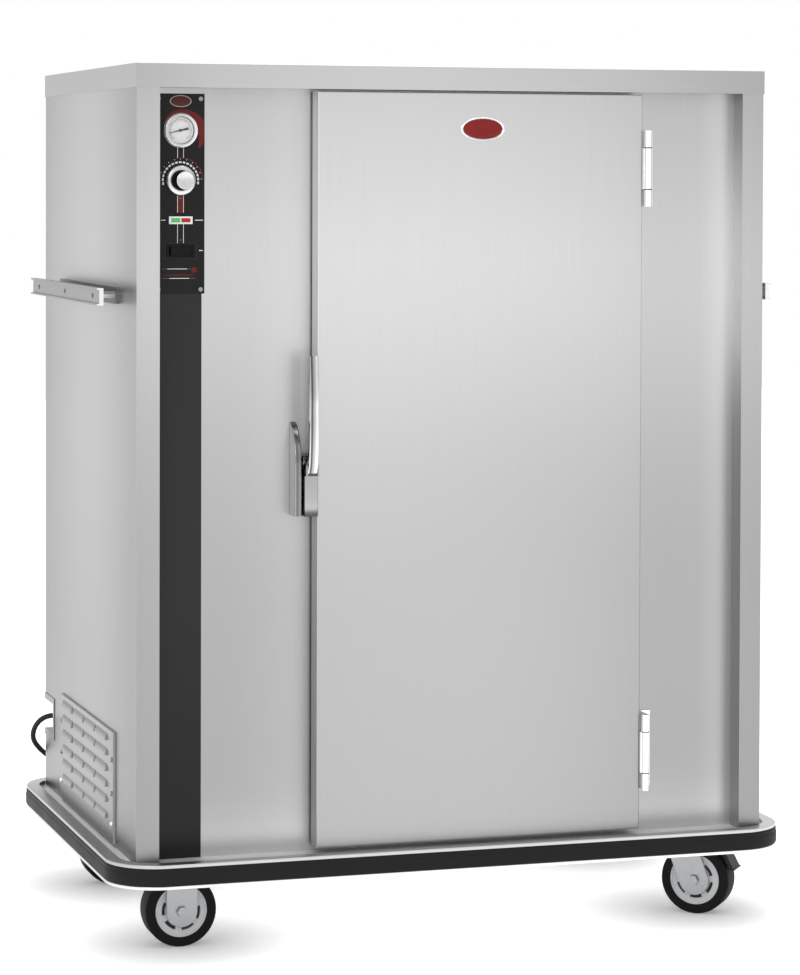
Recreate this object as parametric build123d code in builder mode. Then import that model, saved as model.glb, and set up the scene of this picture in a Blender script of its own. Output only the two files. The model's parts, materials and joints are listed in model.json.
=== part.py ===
from build123d import *

import os
from math import atan2, cos, pi, radians, sin, tan

os.makedirs("parts", exist_ok=True)

# Cabinet body, in millimetres: X to the right, Y to the back, Z up from the floor
body_width = 1200
body_depth = 816
cabinet_height = 1600
deck_top = 177
deck_thick = 3
sheet = 1.5
clearance = 0.3
bearing_gap = 0.06

side = body_width / 2
front = -body_depth / 2
back = body_depth / 2
roof_under = cabinet_height - sheet

# Front frame, roof and the recessed face behind the door
stile_width = 42
recess_depth = 42
header_drop = 43
face_y = front + recess_depth
header_under = cabinet_height - header_drop
face_side = side - stile_width

# Door and the opening that it closes
door_width = 625.5
door_thick = 34.5
hinge_side_width = 200.5
door_bottom_gap = 11
door_top_gap = 4
door_lap_side = 30
door_lap_bottom = 26
door_lap_top = 41
door_right = face_side - hinge_side_width
door_left = door_right - door_width
door_bottom = deck_top + door_bottom_gap
door_top = header_under - door_top_gap
door_back = front + door_thick
open_left = door_left + door_lap_side
open_right = door_right - door_lap_side
open_bottom = door_bottom + door_lap_bottom
open_top = door_top - door_lap_top

# Control column at the left of the face
column_width = 91
cover_width = 86
panel_length = 357
panel_drop = 10
panel_thick = 2
column_right = column_width - face_side
cover_right = cover_width - face_side
panel_top = header_under - panel_drop
panel_bottom = panel_top - panel_length
panel_y = face_y - panel_thick
dial_x = 47 - face_side
thermometer_z = panel_top - 65.5
knob_z = panel_top - 154.6
lamp_z = panel_top - 225.8
switch_z = panel_top - 280.5
hatch_x = (12 - face_side, column_right - 14)
hatch_z = (panel_bottom + 14, panel_top - 19)

# Heated chamber
liner_x = (column_right + 27, face_side - 13)
liner_y = (face_y + 36, back - 42)
liner_top = open_top + 9
throat_y = liner_y[0]
insulation_left = column_right - 3
fan_z = 420
shaft_radius = 4

# Shelf racks, wire shelves and water pan
rack_first = 330
rack_pitch = 130
rack_headroom = 60
rack_steps = 1 + int((liner_top - rack_headroom - rack_first) / rack_pitch)
ledge_width = 12
ledge_thick = 2
shelf_front = liner_y[0] + 30
shelf_back = liner_y[1] - 46
wire_radius = 4
rung_radius = 2.5
rung_count = 13
shelf_corner = 20

# Bumper channel around the deck
bumper_reach = 48
bumper_low = 140
bumper_top = 184
bumper_inner = 21
bumper_wall = 3
bumper_corner = 97
vinyl_low = 146
vinyl_top = 177.4
vinyl_bulge = 2

# Casters
caster_x = side - 109
caster_y = back - 134
wheel_radius = 66
tread_width = 51
tread_round = 5
rim_radius = 48.5
axle_radius = 6
fork_gap = 56
fork_thick = 3
caster_plate_top = 168
caster_plate_thick = 4
stress_plate_thick = 6
caster_trail = 40
swivel_headings = {"front": -39, "back": 28}

# Hinges, latch and strike
hinge_x = door_right + 9
hinge_y = front - 5
barrel_radius = 7.5
pin_radius = 3.5
hinge_length = 141
hinge_middle = 77
hinge_heights = (door_bottom + 143.5, door_top - 136.5)
knuckle_gap = 0.5
latch_left = door_left - 24
latch_z = (789, 862)
lever_pivot_y = front - 7
lever_pivot_z = latch_z[1] + 11
lever_top = 1079
strike_x = (latch_left - 16, latch_left - 3)

# Push handles on both sides
handle_z = 1184
handle_middle = -21
handle_reach = 54
handle_length = 612
handle_height = 31
handle_depth = 12
rail_length = handle_length - 96
rail_thick = 8
post_reach = handle_length / 2 - 59
post_places = (handle_middle - post_reach, handle_middle, handle_middle + post_reach)

# Louvred cover and cord pocket on the left side
vent_y = (-238, 238)
vent_z = (182, 386)
vent_proud = 4.5
louvre_columns = (-142.5, -43.5, 58.5, 164.5)
louvre_rows = (227, 257, 285, 314, 343, 371)
louvre_length = 85
louvre_height = 14
pocket_front = back - 79
pocket_z = (291, 350)
pocket_depth = 90
pocket_rim = 12

# Power cord: its route from the gland, down behind the body and to the floor, measured from
# the rear left corner of the body
cord_radius = 5.25
route_from_corner = [
    (52, -42, 322),
    (24, -42, 322),
    (-7, -24, 318),
    (-23, -3, 296),
    (-25, 14, 267),
    (-5, 28, 241),
    (23, 43, 219),
    (45, 62, 186),
    (68, 78, 145),
    (93, 85, 103),
    (119, 88, 59),
    (156, 89, 23),
    (208, 90, cord_radius),
    (250, 90, cord_radius),
]
cord_route = [(x - side, y + back, z) for x, y, z in route_from_corner]
cord_exit = cord_route[0]
coil_start_radius = 73
coil_pitch = 11.2
coil_layer_rise = 12
coil_quarters = 20


def block(x, y, z, mode=Mode.ADD):
    """Add or cut a rectangular block that runs between two limits along each axis."""
    with Locations(((x[0] + x[1]) / 2, (y[0] + y[1]) / 2, (z[0] + z[1]) / 2)):
        Box(x[1] - x[0], y[1] - y[0], z[1] - z[0], mode=mode)


def about(centre, width):
    """The two limits of a width laid evenly about a centre."""
    return (centre - width / 2, centre + width / 2)


def facing(y):
    """An upright plane at depth y that faces the front."""
    return Plane.XZ.offset(-y)


def rod(plane, radius, length, mode=Mode.ADD):
    """Add or cut a round rod that starts on a plane and runs along its normal."""
    with BuildSketch(plane) as disc:
        Circle(radius)
    extrude(disc.sketch, amount=length, mode=mode)


# Deck plate, with strips that reach the bumper channel and open corners
deck_corner = 53
deck_strip_x = side - deck_corner
deck_strip_y = back - deck_corner
with BuildPart() as base_deck:
    with BuildSketch(Plane.XY.offset(deck_top - deck_thick)):
        Rectangle(body_width, body_depth)
        Rectangle(2 * (side + bumper_inner), 2 * deck_strip_y)
        Rectangle(2 * deck_strip_x, 2 * (back + bumper_inner))
    extrude(amount=deck_thick)
base_deck.part.label = "base_deck"
export_step(base_deck.part, "parts/base_deck.step")

# Two hat rails under the deck and a thick plate above each caster
hat_y = 140
hat_width = 60
hat_flange = 15
hat_wall = 3
hat_low = 144
deck_under = deck_top - deck_thick
rail_end = side - 40
stress_plate = (150, 130)
with BuildPart() as base_frame:
    for y in (-hat_y, hat_y):
        outer = about(y, hat_width)
        inner = about(y, hat_width - 2 * hat_wall)
        flanges = about(y, hat_width + 2 * hat_flange)
        block((-rail_end, rail_end), outer, (hat_low, deck_under))
        block((-rail_end, rail_end), flanges, (deck_under - hat_wall, deck_under))
        block((-rail_end, rail_end), inner, (hat_low + hat_wall, deck_under), Mode.SUBTRACT)
    with BuildSketch(Plane.XY.offset(caster_plate_top)):
        with GridLocations(2 * caster_x, 2 * caster_y, 2, 2):
            Rectangle(*stress_plate)
    extrude(amount=stress_plate_thick)
base_frame.part.label = "base_frame"
export_step(base_frame.part, "parts/base_frame.step")


def ring(low, high, outer, inner, mode=Mode.ADD):
    """Add or cut a level ring around the body between two distances from its faces."""
    with BuildSketch(Plane.XY.offset(low)) as band:
        corner = bumper_corner - bumper_reach
        hole = (body_width + 2 * inner, body_depth + 2 * inner)
        RectangleRounded(body_width + 2 * outer, body_depth + 2 * outer, corner + outer)
        RectangleRounded(*hole, corner + inner, mode=Mode.SUBTRACT)
    extrude(band.sketch, amount=high - low, mode=mode)


# Bumper channel: back wall, top and bottom ledges and two lips that hold the vinyl
lip_reach = bumper_reach - vinyl_bulge
channel_round = 2
vinyl_round = 1.8
with BuildPart() as bumper_channel:
    ring(bumper_low, bumper_top, lip_reach, bumper_inner)
    ring(
        bumper_low + bumper_wall,
        bumper_top - bumper_wall,
        lip_reach - bumper_wall,
        bumper_inner + bumper_wall,
        Mode.SUBTRACT,
    )
    ring(vinyl_low, vinyl_top, lip_reach, lip_reach - bumper_wall, Mode.SUBTRACT)
    fillet(bumper_channel.faces().sort_by(Axis.Z)[-1].outer_wire().edges(), channel_round)
bumper_channel.part.label = "bumper_channel"
export_step(bumper_channel.part, "parts/bumper_channel.step")

with BuildPart() as bumper_insert:
    ring(vinyl_low, vinyl_top, bumper_reach, lip_reach - bumper_wall)
    ring(
        bumper_low + bumper_wall,
        bumper_top - bumper_wall,
        lip_reach - bumper_wall,
        lip_reach - 3 * bumper_wall,
    )
    fillet(bumper_insert.faces().sort_by(SortBy.AREA)[-1].outer_wire().edges(), vinyl_round)
bumper_insert.part.label = "bumper_insert"
export_step(bumper_insert.part, "parts/bumper_insert.step")

# Front frame: two stiles and a header, each turned back to the recessed face
with BuildPart() as front_frame:
    with BuildSketch(facing(front + sheet)):
        with Locations((0, (deck_top + roof_under) / 2)):
            Rectangle(body_width, roof_under - deck_top)
        with Locations((0, (deck_top + header_under) / 2)):
            Rectangle(2 * face_side, header_under - deck_top, mode=Mode.SUBTRACT)
    extrude(amount=sheet)
    with BuildSketch(facing(face_y)):
        with Locations((0, (deck_top + header_under + sheet) / 2)):
            Rectangle(2 * (face_side + sheet), header_under + sheet - deck_top)
        with Locations((0, (deck_top + header_under) / 2)):
            Rectangle(2 * face_side, header_under - deck_top, mode=Mode.SUBTRACT)
    extrude(amount=recess_depth)
front_frame.part.label = "front_frame"
export_step(front_frame.part, "parts/front_frame.step")

# Screws of the control panel: places on the face, and the sizes of their holes
screw_x = (6 - face_side, column_right - 7.5)
screw_z = (panel_bottom + 7.6, panel_top - 9)
screw_places = [(x, z) for x in screw_x for z in screw_z]
screw_shank = 2
screw_head = 4.5
screw_head_height = 2.5
screw_length = 12

# Face panel between the stiles, with the door opening, the control hatch and the screw holes
with BuildPart() as face_panel:
    with BuildSketch(facing(face_y + sheet)):
        with Locations((0, (deck_top + header_under) / 2)):
            Rectangle(2 * face_side, header_under - deck_top)
        with Locations(((open_left + open_right) / 2, (open_bottom + open_top) / 2)):
            Rectangle(open_right - open_left, open_top - open_bottom, mode=Mode.SUBTRACT)
        with Locations((sum(hatch_x) / 2, sum(hatch_z) / 2)):
            Rectangle(hatch_x[1] - hatch_x[0], hatch_z[1] - hatch_z[0], mode=Mode.SUBTRACT)
        with Locations(*screw_places):
            Circle(screw_shank + bearing_gap, mode=Mode.SUBTRACT)
    extrude(amount=sheet)
face_panel.part.label = "face_panel"
export_step(face_panel.part, "parts/face_panel.step")

# Cord pocket: a box let into the rear left corner, with a rim on both outer faces
pocket_x = (-side, -side + pocket_depth)
pocket_y = (pocket_front, back)
with BuildPart() as cord_pocket:
    rim_z = (pocket_z[0] - pocket_rim, pocket_z[1] + pocket_rim)
    block(
        (-side + sheet, pocket_x[1] + sheet),
        (pocket_front - sheet, back - sheet),
        (pocket_z[0] - sheet, pocket_z[1] + sheet),
    )
    block((-side - sheet, -side), (pocket_front - pocket_rim, back + sheet), rim_z)
    block((-side, pocket_x[1] + pocket_rim), (back, back + sheet), rim_z)
    block((-side - sheet, pocket_x[1]), (pocket_front, back + sheet), pocket_z, Mode.SUBTRACT)
    block((-side, -side + sheet), (pocket_front - sheet, pocket_front), pocket_z)
    block((pocket_x[1], pocket_x[1] + sheet), (back - sheet, back), pocket_z)
cord_pocket.part.label = "cord_pocket"
export_step(cord_pocket.part, "parts/cord_pocket.step")

# Outer skins: left, right and back
vent_hole_y = (vent_y[0] + 23, vent_y[1] - 23)
vent_hole_z = (vent_z[0] + 18, vent_z[1] - 12)
with BuildPart() as left_side_panel:
    block((-side, -side + sheet), (front + sheet, back - sheet), (deck_top, roof_under))
    block((-side, -side + sheet), vent_hole_y, vent_hole_z, Mode.SUBTRACT)
    block((-side, -side + sheet), (pocket_front - sheet, back), pocket_z, Mode.SUBTRACT)
left_side_panel.part.label = "left_side_panel"
export_step(left_side_panel.part, "parts/left_side_panel.step")

with BuildPart() as right_side_panel:
    block((side - sheet, side), (front + sheet, back - sheet), (deck_top, roof_under))
right_side_panel.part.label = "right_side_panel"
export_step(right_side_panel.part, "parts/right_side_panel.step")

with BuildPart() as back_panel:
    block((-side, side), (back - sheet, back), (deck_top, roof_under))
    block((-side, pocket_x[1] + sheet), (back - sheet, back), pocket_z, Mode.SUBTRACT)
back_panel.part.label = "back_panel"
export_step(back_panel.part, "parts/back_panel.step")

# Roof: a shallow pan turned down over the skins
roof_edge = 1.4
with BuildPart() as top_cap:
    with BuildSketch(Plane.XY.offset(header_under)):
        Rectangle(body_width + 2 * sheet, body_depth + 2 * sheet)
    extrude(amount=header_drop)
    fillet(top_cap.faces().sort_by(Axis.Z)[-1].edges(), roof_edge)
    block((-side, side), (front, back), (header_under, roof_under), Mode.SUBTRACT)
top_cap.part.label = "top_cap"
export_step(top_cap.part, "parts/top_cap.step")

# Black cover of the control column and the control panel above it
with BuildPart() as control_cover:
    block((-face_side, cover_right), (face_y - sheet, face_y), (deck_top, panel_bottom))
control_cover.part.label = "control_cover"
export_step(control_cover.part, "parts/control_cover.step")

case_radius = 27
bush_radius = 5
lamp_body = (38, 10)
lamp_frame = (43, 13.6)
switch_body = (46.4, 20)
switch_frame = (51, 23)
with BuildPart() as control_panel:
    with BuildSketch(facing(face_y)):
        with Locations(((-face_side + column_right) / 2, (panel_bottom + panel_top) / 2)):
            Rectangle(column_right + face_side, panel_top - panel_bottom)
        with Locations((dial_x, thermometer_z)):
            Circle(case_radius + bearing_gap, mode=Mode.SUBTRACT)
        with Locations((dial_x, knob_z)):
            Circle(bush_radius + bearing_gap, mode=Mode.SUBTRACT)
        with Locations((dial_x, lamp_z)):
            Rectangle(lamp_body[0] + clearance, lamp_body[1] + clearance, mode=Mode.SUBTRACT)
        with Locations((dial_x, switch_z)):
            Rectangle(switch_body[0] + clearance, switch_body[1] + clearance, mode=Mode.SUBTRACT)
        with Locations(*screw_places):
            Circle(screw_shank + bearing_gap, mode=Mode.SUBTRACT)
    extrude(amount=panel_thick)
control_panel.part.label = "control_panel"
export_step(control_panel.part, "parts/control_panel.step")

# Pan-head screws of the control panel and of the louvred cover
vent_screws = [(y, z) for y in (vent_y[0] + 11, vent_y[1] - 11) for z in (217, 273, 335)]
with BuildPart() as cover_screws:
    with BuildSketch(facing(panel_y)):
        with Locations(*screw_places):
            Circle(screw_head)
    extrude(amount=screw_head_height, taper=12)
    with BuildSketch(facing(panel_y + screw_length)):
        with Locations(*screw_places):
            Circle(screw_shank)
    extrude(amount=screw_length)
    with BuildSketch(Plane.YZ.offset(-side - vent_proud)):
        with Locations(*vent_screws):
            Circle(screw_head)
    extrude(amount=-screw_head_height, taper=12)
cover_screws.part.label = "cover_screws"
export_step(cover_screws.part, "parts/cover_screws.step")

# Dial thermometer: case with bezel, dial, needle on its spindle, and lens
bezel_radius = 30.8
bezel_proud = 8
dial_radius = 24.5
dial_sink = 10
case_depth = 36
spindle_radius = 1
boss_radius = 5
bezel_y = panel_y - bezel_proud
dial_y = bezel_y + dial_sink
dial_thick = 1
lens_thick = 1.5
lens_sink = 3
with BuildPart() as thermometer_case:
    with BuildSketch(facing(bezel_y + case_depth)):
        with Locations((dial_x, thermometer_z)):
            Circle(case_radius)
    extrude(amount=case_depth)
    with BuildSketch(facing(panel_y)):
        with Locations((dial_x, thermometer_z)):
            Circle(bezel_radius)
    extrude(amount=bezel_proud)
    fillet(thermometer_case.faces().sort_by(Axis.Y)[0].edges(), 3)
    with BuildSketch(facing(bezel_y + case_depth - sheet)):
        with Locations((dial_x, thermometer_z)):
            Circle(dial_radius + clearance)
    extrude(amount=case_depth, mode=Mode.SUBTRACT)
    with BuildSketch(facing(bezel_y + case_depth - sheet)):
        with Locations((dial_x, thermometer_z)):
            Circle(boss_radius)
            Circle(spindle_radius + bearing_gap, mode=Mode.SUBTRACT)
    extrude(amount=case_depth - sheet - dial_sink - dial_thick)
thermometer_case.part.label = "thermometer_case"
export_step(thermometer_case.part, "parts/thermometer_case.step")

with BuildPart() as thermometer_face:
    with BuildSketch(facing(dial_y + dial_thick)):
        with Locations((dial_x, thermometer_z)):
            Circle(dial_radius + clearance)
            Circle(spindle_radius + bearing_gap, mode=Mode.SUBTRACT)
    extrude(amount=dial_thick)
thermometer_face.part.label = "thermometer_face"
export_step(thermometer_face.part, "parts/thermometer_face.step")

needle_gap = 1
needle_thick = 0.8
needle_turn = 103
needle_tail = 12
needle_tip = 19
needle_hub = 3
spindle_length = 6
with BuildPart() as thermometer_needle:
    needle_plane = Plane(
        origin=(dial_x, dial_y - needle_gap, thermometer_z),
        x_dir=(cos(radians(needle_turn)), 0, sin(radians(needle_turn))),
        z_dir=(0, -1, 0),
    )
    with BuildSketch(needle_plane):
        with BuildLine():
            Polyline(
                (-1.6, -needle_tail),
                (1.6, -needle_tail),
                (0.4, needle_tip),
                (-0.4, needle_tip),
                close=True,
            )
        make_face()
        Circle(needle_hub)
    extrude(amount=needle_thick)
    rod(needle_plane.offset(-needle_gap - spindle_length), spindle_radius, spindle_length + needle_gap)
thermometer_needle.part.label = "thermometer_needle"
export_step(thermometer_needle.part, "parts/thermometer_needle.step")

with BuildPart() as thermometer_lens:
    with BuildSketch(facing(bezel_y + lens_sink + lens_thick)):
        with Locations((dial_x, thermometer_z)):
            Circle(dial_radius + clearance)
    extrude(amount=lens_thick)
thermometer_lens.part.label = "thermometer_lens"
export_step(thermometer_lens.part, "parts/thermometer_lens.step")

# Thermostat: body with a threaded bush through the panel, and its knob
thermostat_size = 40
thermostat_depth = 36
bush_proud = 5
knob_radius = 27
knob_cap_radius = 17
knob_skirt = 7
knob_reach = 40
knob_lift = 1.5
stem_length = 16
with BuildPart() as thermostat_body:
    block(
        about(dial_x, thermostat_size),
        (face_y + clearance, face_y + thermostat_depth),
        about(knob_z, thermostat_size),
    )
    bush_plane = Plane(origin=(dial_x, face_y + clearance, knob_z), x_dir=(1, 0, 0), z_dir=(0, -1, 0))
    rod(bush_plane, bush_radius, panel_thick + clearance + bush_proud)
    rod(
        bush_plane.offset(-stem_length),
        shaft_radius + bearing_gap,
        stem_length + panel_thick + clearance + bush_proud,
        Mode.SUBTRACT,
    )
thermostat_body.part.label = "thermostat_body"
export_step(thermostat_body.part, "parts/thermostat_body.step")

knob_back = panel_y - knob_lift
with BuildPart() as thermostat_knob:
    knob_plane = Plane(origin=(dial_x, knob_back, knob_z), x_dir=(1, 0, 0), z_dir=(0, -1, 0))
    rod(knob_plane, knob_radius, knob_skirt)
    fillet(thermostat_knob.faces().sort_by(Axis.Y)[0].edges(), 4)
    with BuildSketch(knob_plane):
        Circle(knob_cap_radius)
    extrude(amount=knob_reach - knob_lift, taper=2)
    fillet(thermostat_knob.faces().sort_by(Axis.Y)[0].edges(), 1.5)
    rod(knob_plane, bush_radius + 6, bush_proud + 1, Mode.SUBTRACT)
    rod(knob_plane.offset(-(panel_thick + stem_length - knob_lift - 2)), shaft_radius, 30)
thermostat_knob.part.label = "thermostat_knob"
export_step(thermostat_knob.part, "parts/thermostat_knob.step")

# Pair of indicator lamps in one frame
lamp_proud = 3
lamp_depth = 22
lens_size = (16.5, 7.5)
lens_offset = 9.3
lens_depth = 10
lens_recess = 0.5
with BuildPart() as indicator_frame:
    block(about(dial_x, lamp_body[0]), (panel_y, panel_y + lamp_depth), about(lamp_z, lamp_body[1]))
    block(about(dial_x, lamp_frame[0]), (panel_y - lamp_proud, panel_y), about(lamp_z, lamp_frame[1]))
    for x in (dial_x - lens_offset, dial_x + lens_offset):
        seat_y = (panel_y - lamp_proud, panel_y + lens_depth)
        block(about(x, lens_size[0]), seat_y, about(lamp_z, lens_size[1]), Mode.SUBTRACT)
indicator_frame.part.label = "indicator_frame"
export_step(indicator_frame.part, "parts/indicator_frame.step")

with BuildPart() as indicator_lenses:
    for x in (dial_x - lens_offset, dial_x + lens_offset):
        lens_y = (panel_y - lamp_proud + lens_recess, panel_y + lens_depth)
        block(about(x, lens_size[0]), lens_y, about(lamp_z, lens_size[1]))
indicator_lenses.part.label = "indicator_lenses"
export_step(indicator_lenses.part, "parts/indicator_lenses.step")

# Rocker switch: bezel with its box behind the panel, and the rocker on its upright pins
switch_proud = 2
switch_depth = 26
rocker_half = 20
rocker_height = 14.4
rocker_wall = 2
switch_pin = 1.5
rocker_axis_y = face_y + 4
rocker_tip = 8
with BuildPart() as switch_bezel:
    box_y = (panel_y, panel_y + switch_depth)
    rim_y = (panel_y - switch_proud, panel_y)
    block(about(dial_x, switch_body[0]), box_y, about(switch_z, switch_body[1]))
    block(about(dial_x, switch_frame[0]), rim_y, about(switch_z, switch_frame[1]))
    block(
        about(dial_x, switch_body[0] - 2 * rocker_wall),
        (panel_y - switch_proud, panel_y + switch_depth - rocker_wall),
        about(switch_z, rocker_height + 2 * clearance),
        Mode.SUBTRACT,
    )
    pin_plane = Plane.XY.offset(switch_z - switch_body[1] / 2).shift_origin(
        (dial_x, rocker_axis_y, switch_z - switch_body[1] / 2)
    )
    rod(pin_plane, switch_pin + bearing_gap, switch_body[1], Mode.SUBTRACT)
switch_bezel.part.label = "switch_bezel"
export_step(switch_bezel.part, "parts/switch_bezel.step")

with BuildPart() as switch_rocker:
    rocker_low = switch_z - rocker_height / 2
    rocker_level = Plane(origin=(dial_x, rocker_axis_y, rocker_low), x_dir=(1, 0, 0), z_dir=(0, 0, 1))
    rocker_plane = rocker_level.rotated((0, 0, rocker_tip))
    with BuildSketch(rocker_plane):
        with BuildLine():
            front_arc = ThreePointArc((-rocker_half, -8.5), (0, -6.5), (rocker_half, -8.5))
            Line(front_arc @ 1, (rocker_half - 1, 1))
            Line((rocker_half - 1, 1), (3, 4))
            Line((3, 4), (-3, 4))
            Line((-3, 4), (-rocker_half + 1, 1))
            Line((-rocker_half + 1, 1), front_arc @ 0)
        make_face()
    extrude(amount=rocker_height)
    rod(
        rocker_plane.offset(-clearance - rocker_wall),
        switch_pin,
        rocker_height + 2 * (clearance + rocker_wall),
    )
switch_rocker.part.label = "switch_rocker"
export_step(switch_rocker.part, "parts/switch_rocker.step")

# Inner liner of the chamber with its throat to the face panel
floor_z = open_bottom
heater_y = 45
heater_z = 600
heater_radius = 4
with BuildPart() as inner_liner:
    block(liner_x, liner_y, (floor_z - sheet, liner_top))
    block(
        (open_left - sheet, open_right + sheet),
        (face_y + sheet, throat_y),
        (open_bottom - sheet, open_top + sheet),
    )
    block(
        (liner_x[0] + sheet, liner_x[1] - sheet),
        (liner_y[0] + sheet, liner_y[1] - sheet),
        (floor_z, liner_top - sheet),
        Mode.SUBTRACT,
    )
    throat = (face_y + sheet, throat_y + sheet)
    block((open_left, open_right), throat, (open_bottom, open_top), Mode.SUBTRACT)
    shaft_hole = 15
    liner_wall = Plane.YZ.offset(liner_x[0])
    rod(liner_wall.shift_origin((liner_x[0], 0, fan_z)), shaft_hole, sheet, Mode.SUBTRACT)
    for y in (-heater_y, heater_y):
        rod(
            liner_wall.shift_origin((liner_x[0], y, heater_z)),
            heater_radius + bearing_gap,
            sheet,
            Mode.SUBTRACT,
        )
inner_liner.part.label = "inner_liner"
export_step(inner_liner.part, "parts/inner_liner.step")

# Rigid insulation around the liner
with BuildPart() as insulation:
    block(
        (insulation_left, side - sheet),
        (face_y + sheet, back - sheet),
        (deck_top, roof_under),
    )
    block(liner_x, liner_y, (floor_z - sheet, liner_top), Mode.SUBTRACT)
    block(
        (open_left - sheet, open_right + sheet),
        (face_y + sheet, throat_y),
        (open_bottom - sheet, open_top + sheet),
        Mode.SUBTRACT,
    )
    wall_run = liner_x[0] - insulation_left
    shaft_plane = Plane.YZ.offset(insulation_left).shift_origin((insulation_left, 0, fan_z))
    rod(shaft_plane, shaft_hole, wall_run, Mode.SUBTRACT)
    for y in (-heater_y, heater_y):
        rod(
            Plane.YZ.offset(insulation_left).shift_origin((insulation_left, y, heater_z)),
            heater_radius + bearing_gap,
            wall_run,
            Mode.SUBTRACT,
        )
insulation.part.label = "insulation"
export_step(insulation.part, "parts/insulation.step")

# Shelf racks: two uprights and a row of ledges on each side of the opening
upright_size = (3, 20)
upright_places = (-250, 290)
ledge_levels = [rack_first + n * rack_pitch for n in range(rack_steps)]
with BuildPart() as shelf_supports:
    for wall_x, inward in ((open_left, 1), (open_right, -1)):
        for y in upright_places:
            block(
                tuple(sorted((wall_x, wall_x + inward * upright_size[0]))),
                about(y, upright_size[1]),
                (floor_z, liner_top - sheet),
            )
        for z in ledge_levels:
            block(
                tuple(sorted((wall_x, wall_x + inward * ledge_width))),
                (shelf_front, shelf_back),
                (z - ledge_thick, z),
            )
shelf_supports.part.label = "shelf_supports"
export_step(shelf_supports.part, "parts/shelf_supports.step")

# Two wire shelves: a bent frame with rungs welded under the long wires
shelf_x = (open_left + 7, open_right - 7)
rung_lift = 1
tie_drop = 1.3
for shelf_name, level in (("shelf_lower", ledge_levels[2]), ("shelf_upper", ledge_levels[6])):
    wire_z = level + clearance + wire_radius
    x0 = shelf_x[0] + wire_radius
    x1 = shelf_x[1] - wire_radius
    y0 = shelf_front + wire_radius
    y1 = shelf_back - wire_radius
    with BuildPart() as shelf:
        with BuildSketch(Plane.XY.offset(wire_z - wire_radius)):
            with Locations((sum(shelf_x) / 2, (shelf_front + shelf_back) / 2)):
                RectangleRounded(shelf_x[1] - shelf_x[0], shelf_back - shelf_front, shelf_corner)
                RectangleRounded(
                    shelf_x[1] - shelf_x[0] - 4 * wire_radius,
                    shelf_back - shelf_front - 4 * wire_radius,
                    shelf_corner - 2 * wire_radius,
                    mode=Mode.SUBTRACT,
                )
        extrude(amount=2 * wire_radius)
        for n in range(1, rung_count + 1):
            x = x0 + (x1 - x0) * n / (rung_count + 1)
            rod(facing(y1).shift_origin((x, y1, wire_z + rung_lift)), rung_radius, y1 - y0)
        tie_plane = Plane.YZ.offset(x0).shift_origin((x0, (y0 + y1) / 2, wire_z - tie_drop))
        rod(tie_plane, rung_radius, x1 - x0)
    shelf.part.label = shelf_name
    export_step(shelf.part, f"parts/{shelf_name}.step")

# Water pan on the chamber floor
pan_size = 300
pan_corner = 25
pan_x = (open_left + 38, open_left + 38 + pan_size)
pan_y = (liner_y[0] + 40, liner_y[0] + 40 + pan_size)
pan_height = 62
pan_wall = 1.2
pan_rim = 10
with BuildPart() as water_pan:
    pan_z = floor_z + clearance
    with BuildSketch(Plane.XY.offset(pan_z)):
        with Locations((sum(pan_x) / 2, sum(pan_y) / 2)):
            RectangleRounded(pan_size - 2 * pan_rim, pan_size - 2 * pan_rim, pan_corner)
    extrude(amount=pan_height)
    fillet(water_pan.faces().sort_by(Axis.Z)[0].edges(), 6)
    offset(amount=-pan_wall, openings=water_pan.faces().sort_by(Axis.Z)[-1])
    with BuildSketch(Plane.XY.offset(pan_z + pan_height - pan_wall)):
        with Locations((sum(pan_x) / 2, sum(pan_y) / 2)):
            RectangleRounded(pan_size, pan_size, pan_corner + 5)
            pan_inside = pan_size - 2 * pan_rim - 2 * pan_wall
            RectangleRounded(pan_inside, pan_inside, pan_corner - 1, mode=Mode.SUBTRACT)
    extrude(amount=pan_wall)
water_pan.part.label = "water_pan"
export_step(water_pan.part, "parts/water_pan.step")

# Sheathed heater bent around the fan, with both ends out through the chamber wall
loop_half = 130
loop_low = fan_z - 135
loop_drop = 20
heater_bend = 16
heater_x = liner_x[0] + 24
heater_end = insulation_left - 16
with BuildPart() as heater_element:
    with BuildLine() as heater_path:
        FilletPolyline(
            (heater_end, -heater_y, heater_z),
            (heater_x, -heater_y, heater_z),
            (heater_x, -loop_half, heater_z - loop_drop),
            (heater_x, -loop_half, loop_low),
            (heater_x, loop_half, loop_low),
            (heater_x, loop_half, heater_z - loop_drop),
            (heater_x, heater_y, heater_z),
            (heater_end, heater_y, heater_z),
            radius=heater_bend,
        )
    with BuildSketch(Plane(origin=heater_path.line @ 0, z_dir=heater_path.line % 0)):
        Circle(heater_radius)
    sweep(path=heater_path.line)
heater_element.part.label = "heater_element"
export_step(heater_element.part, "parts/heater_element.step")

# Fan motor outside the chamber wall, and the fan wheel on its shaft inside
motor_radius = 45
motor_length = 80
motor_plate = (120, 4)
shaft_reach = 60
with BuildPart() as fan_motor:
    motor_plane = Plane(origin=(insulation_left, 0, fan_z), x_dir=(0, 1, 0), z_dir=(-1, 0, 0))
    block(
        (insulation_left - motor_plate[1], insulation_left),
        about(0, motor_plate[0]),
        about(fan_z, motor_plate[0]),
    )
    rod(motor_plane, motor_radius, motor_length)
    fillet(fan_motor.faces().sort_by(Axis.X)[0].edges(), 8)
    rod(motor_plane, shaft_radius + bearing_gap, shaft_reach, Mode.SUBTRACT)
fan_motor.part.label = "fan_motor"
export_step(fan_motor.part, "parts/fan_motor.step")

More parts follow.
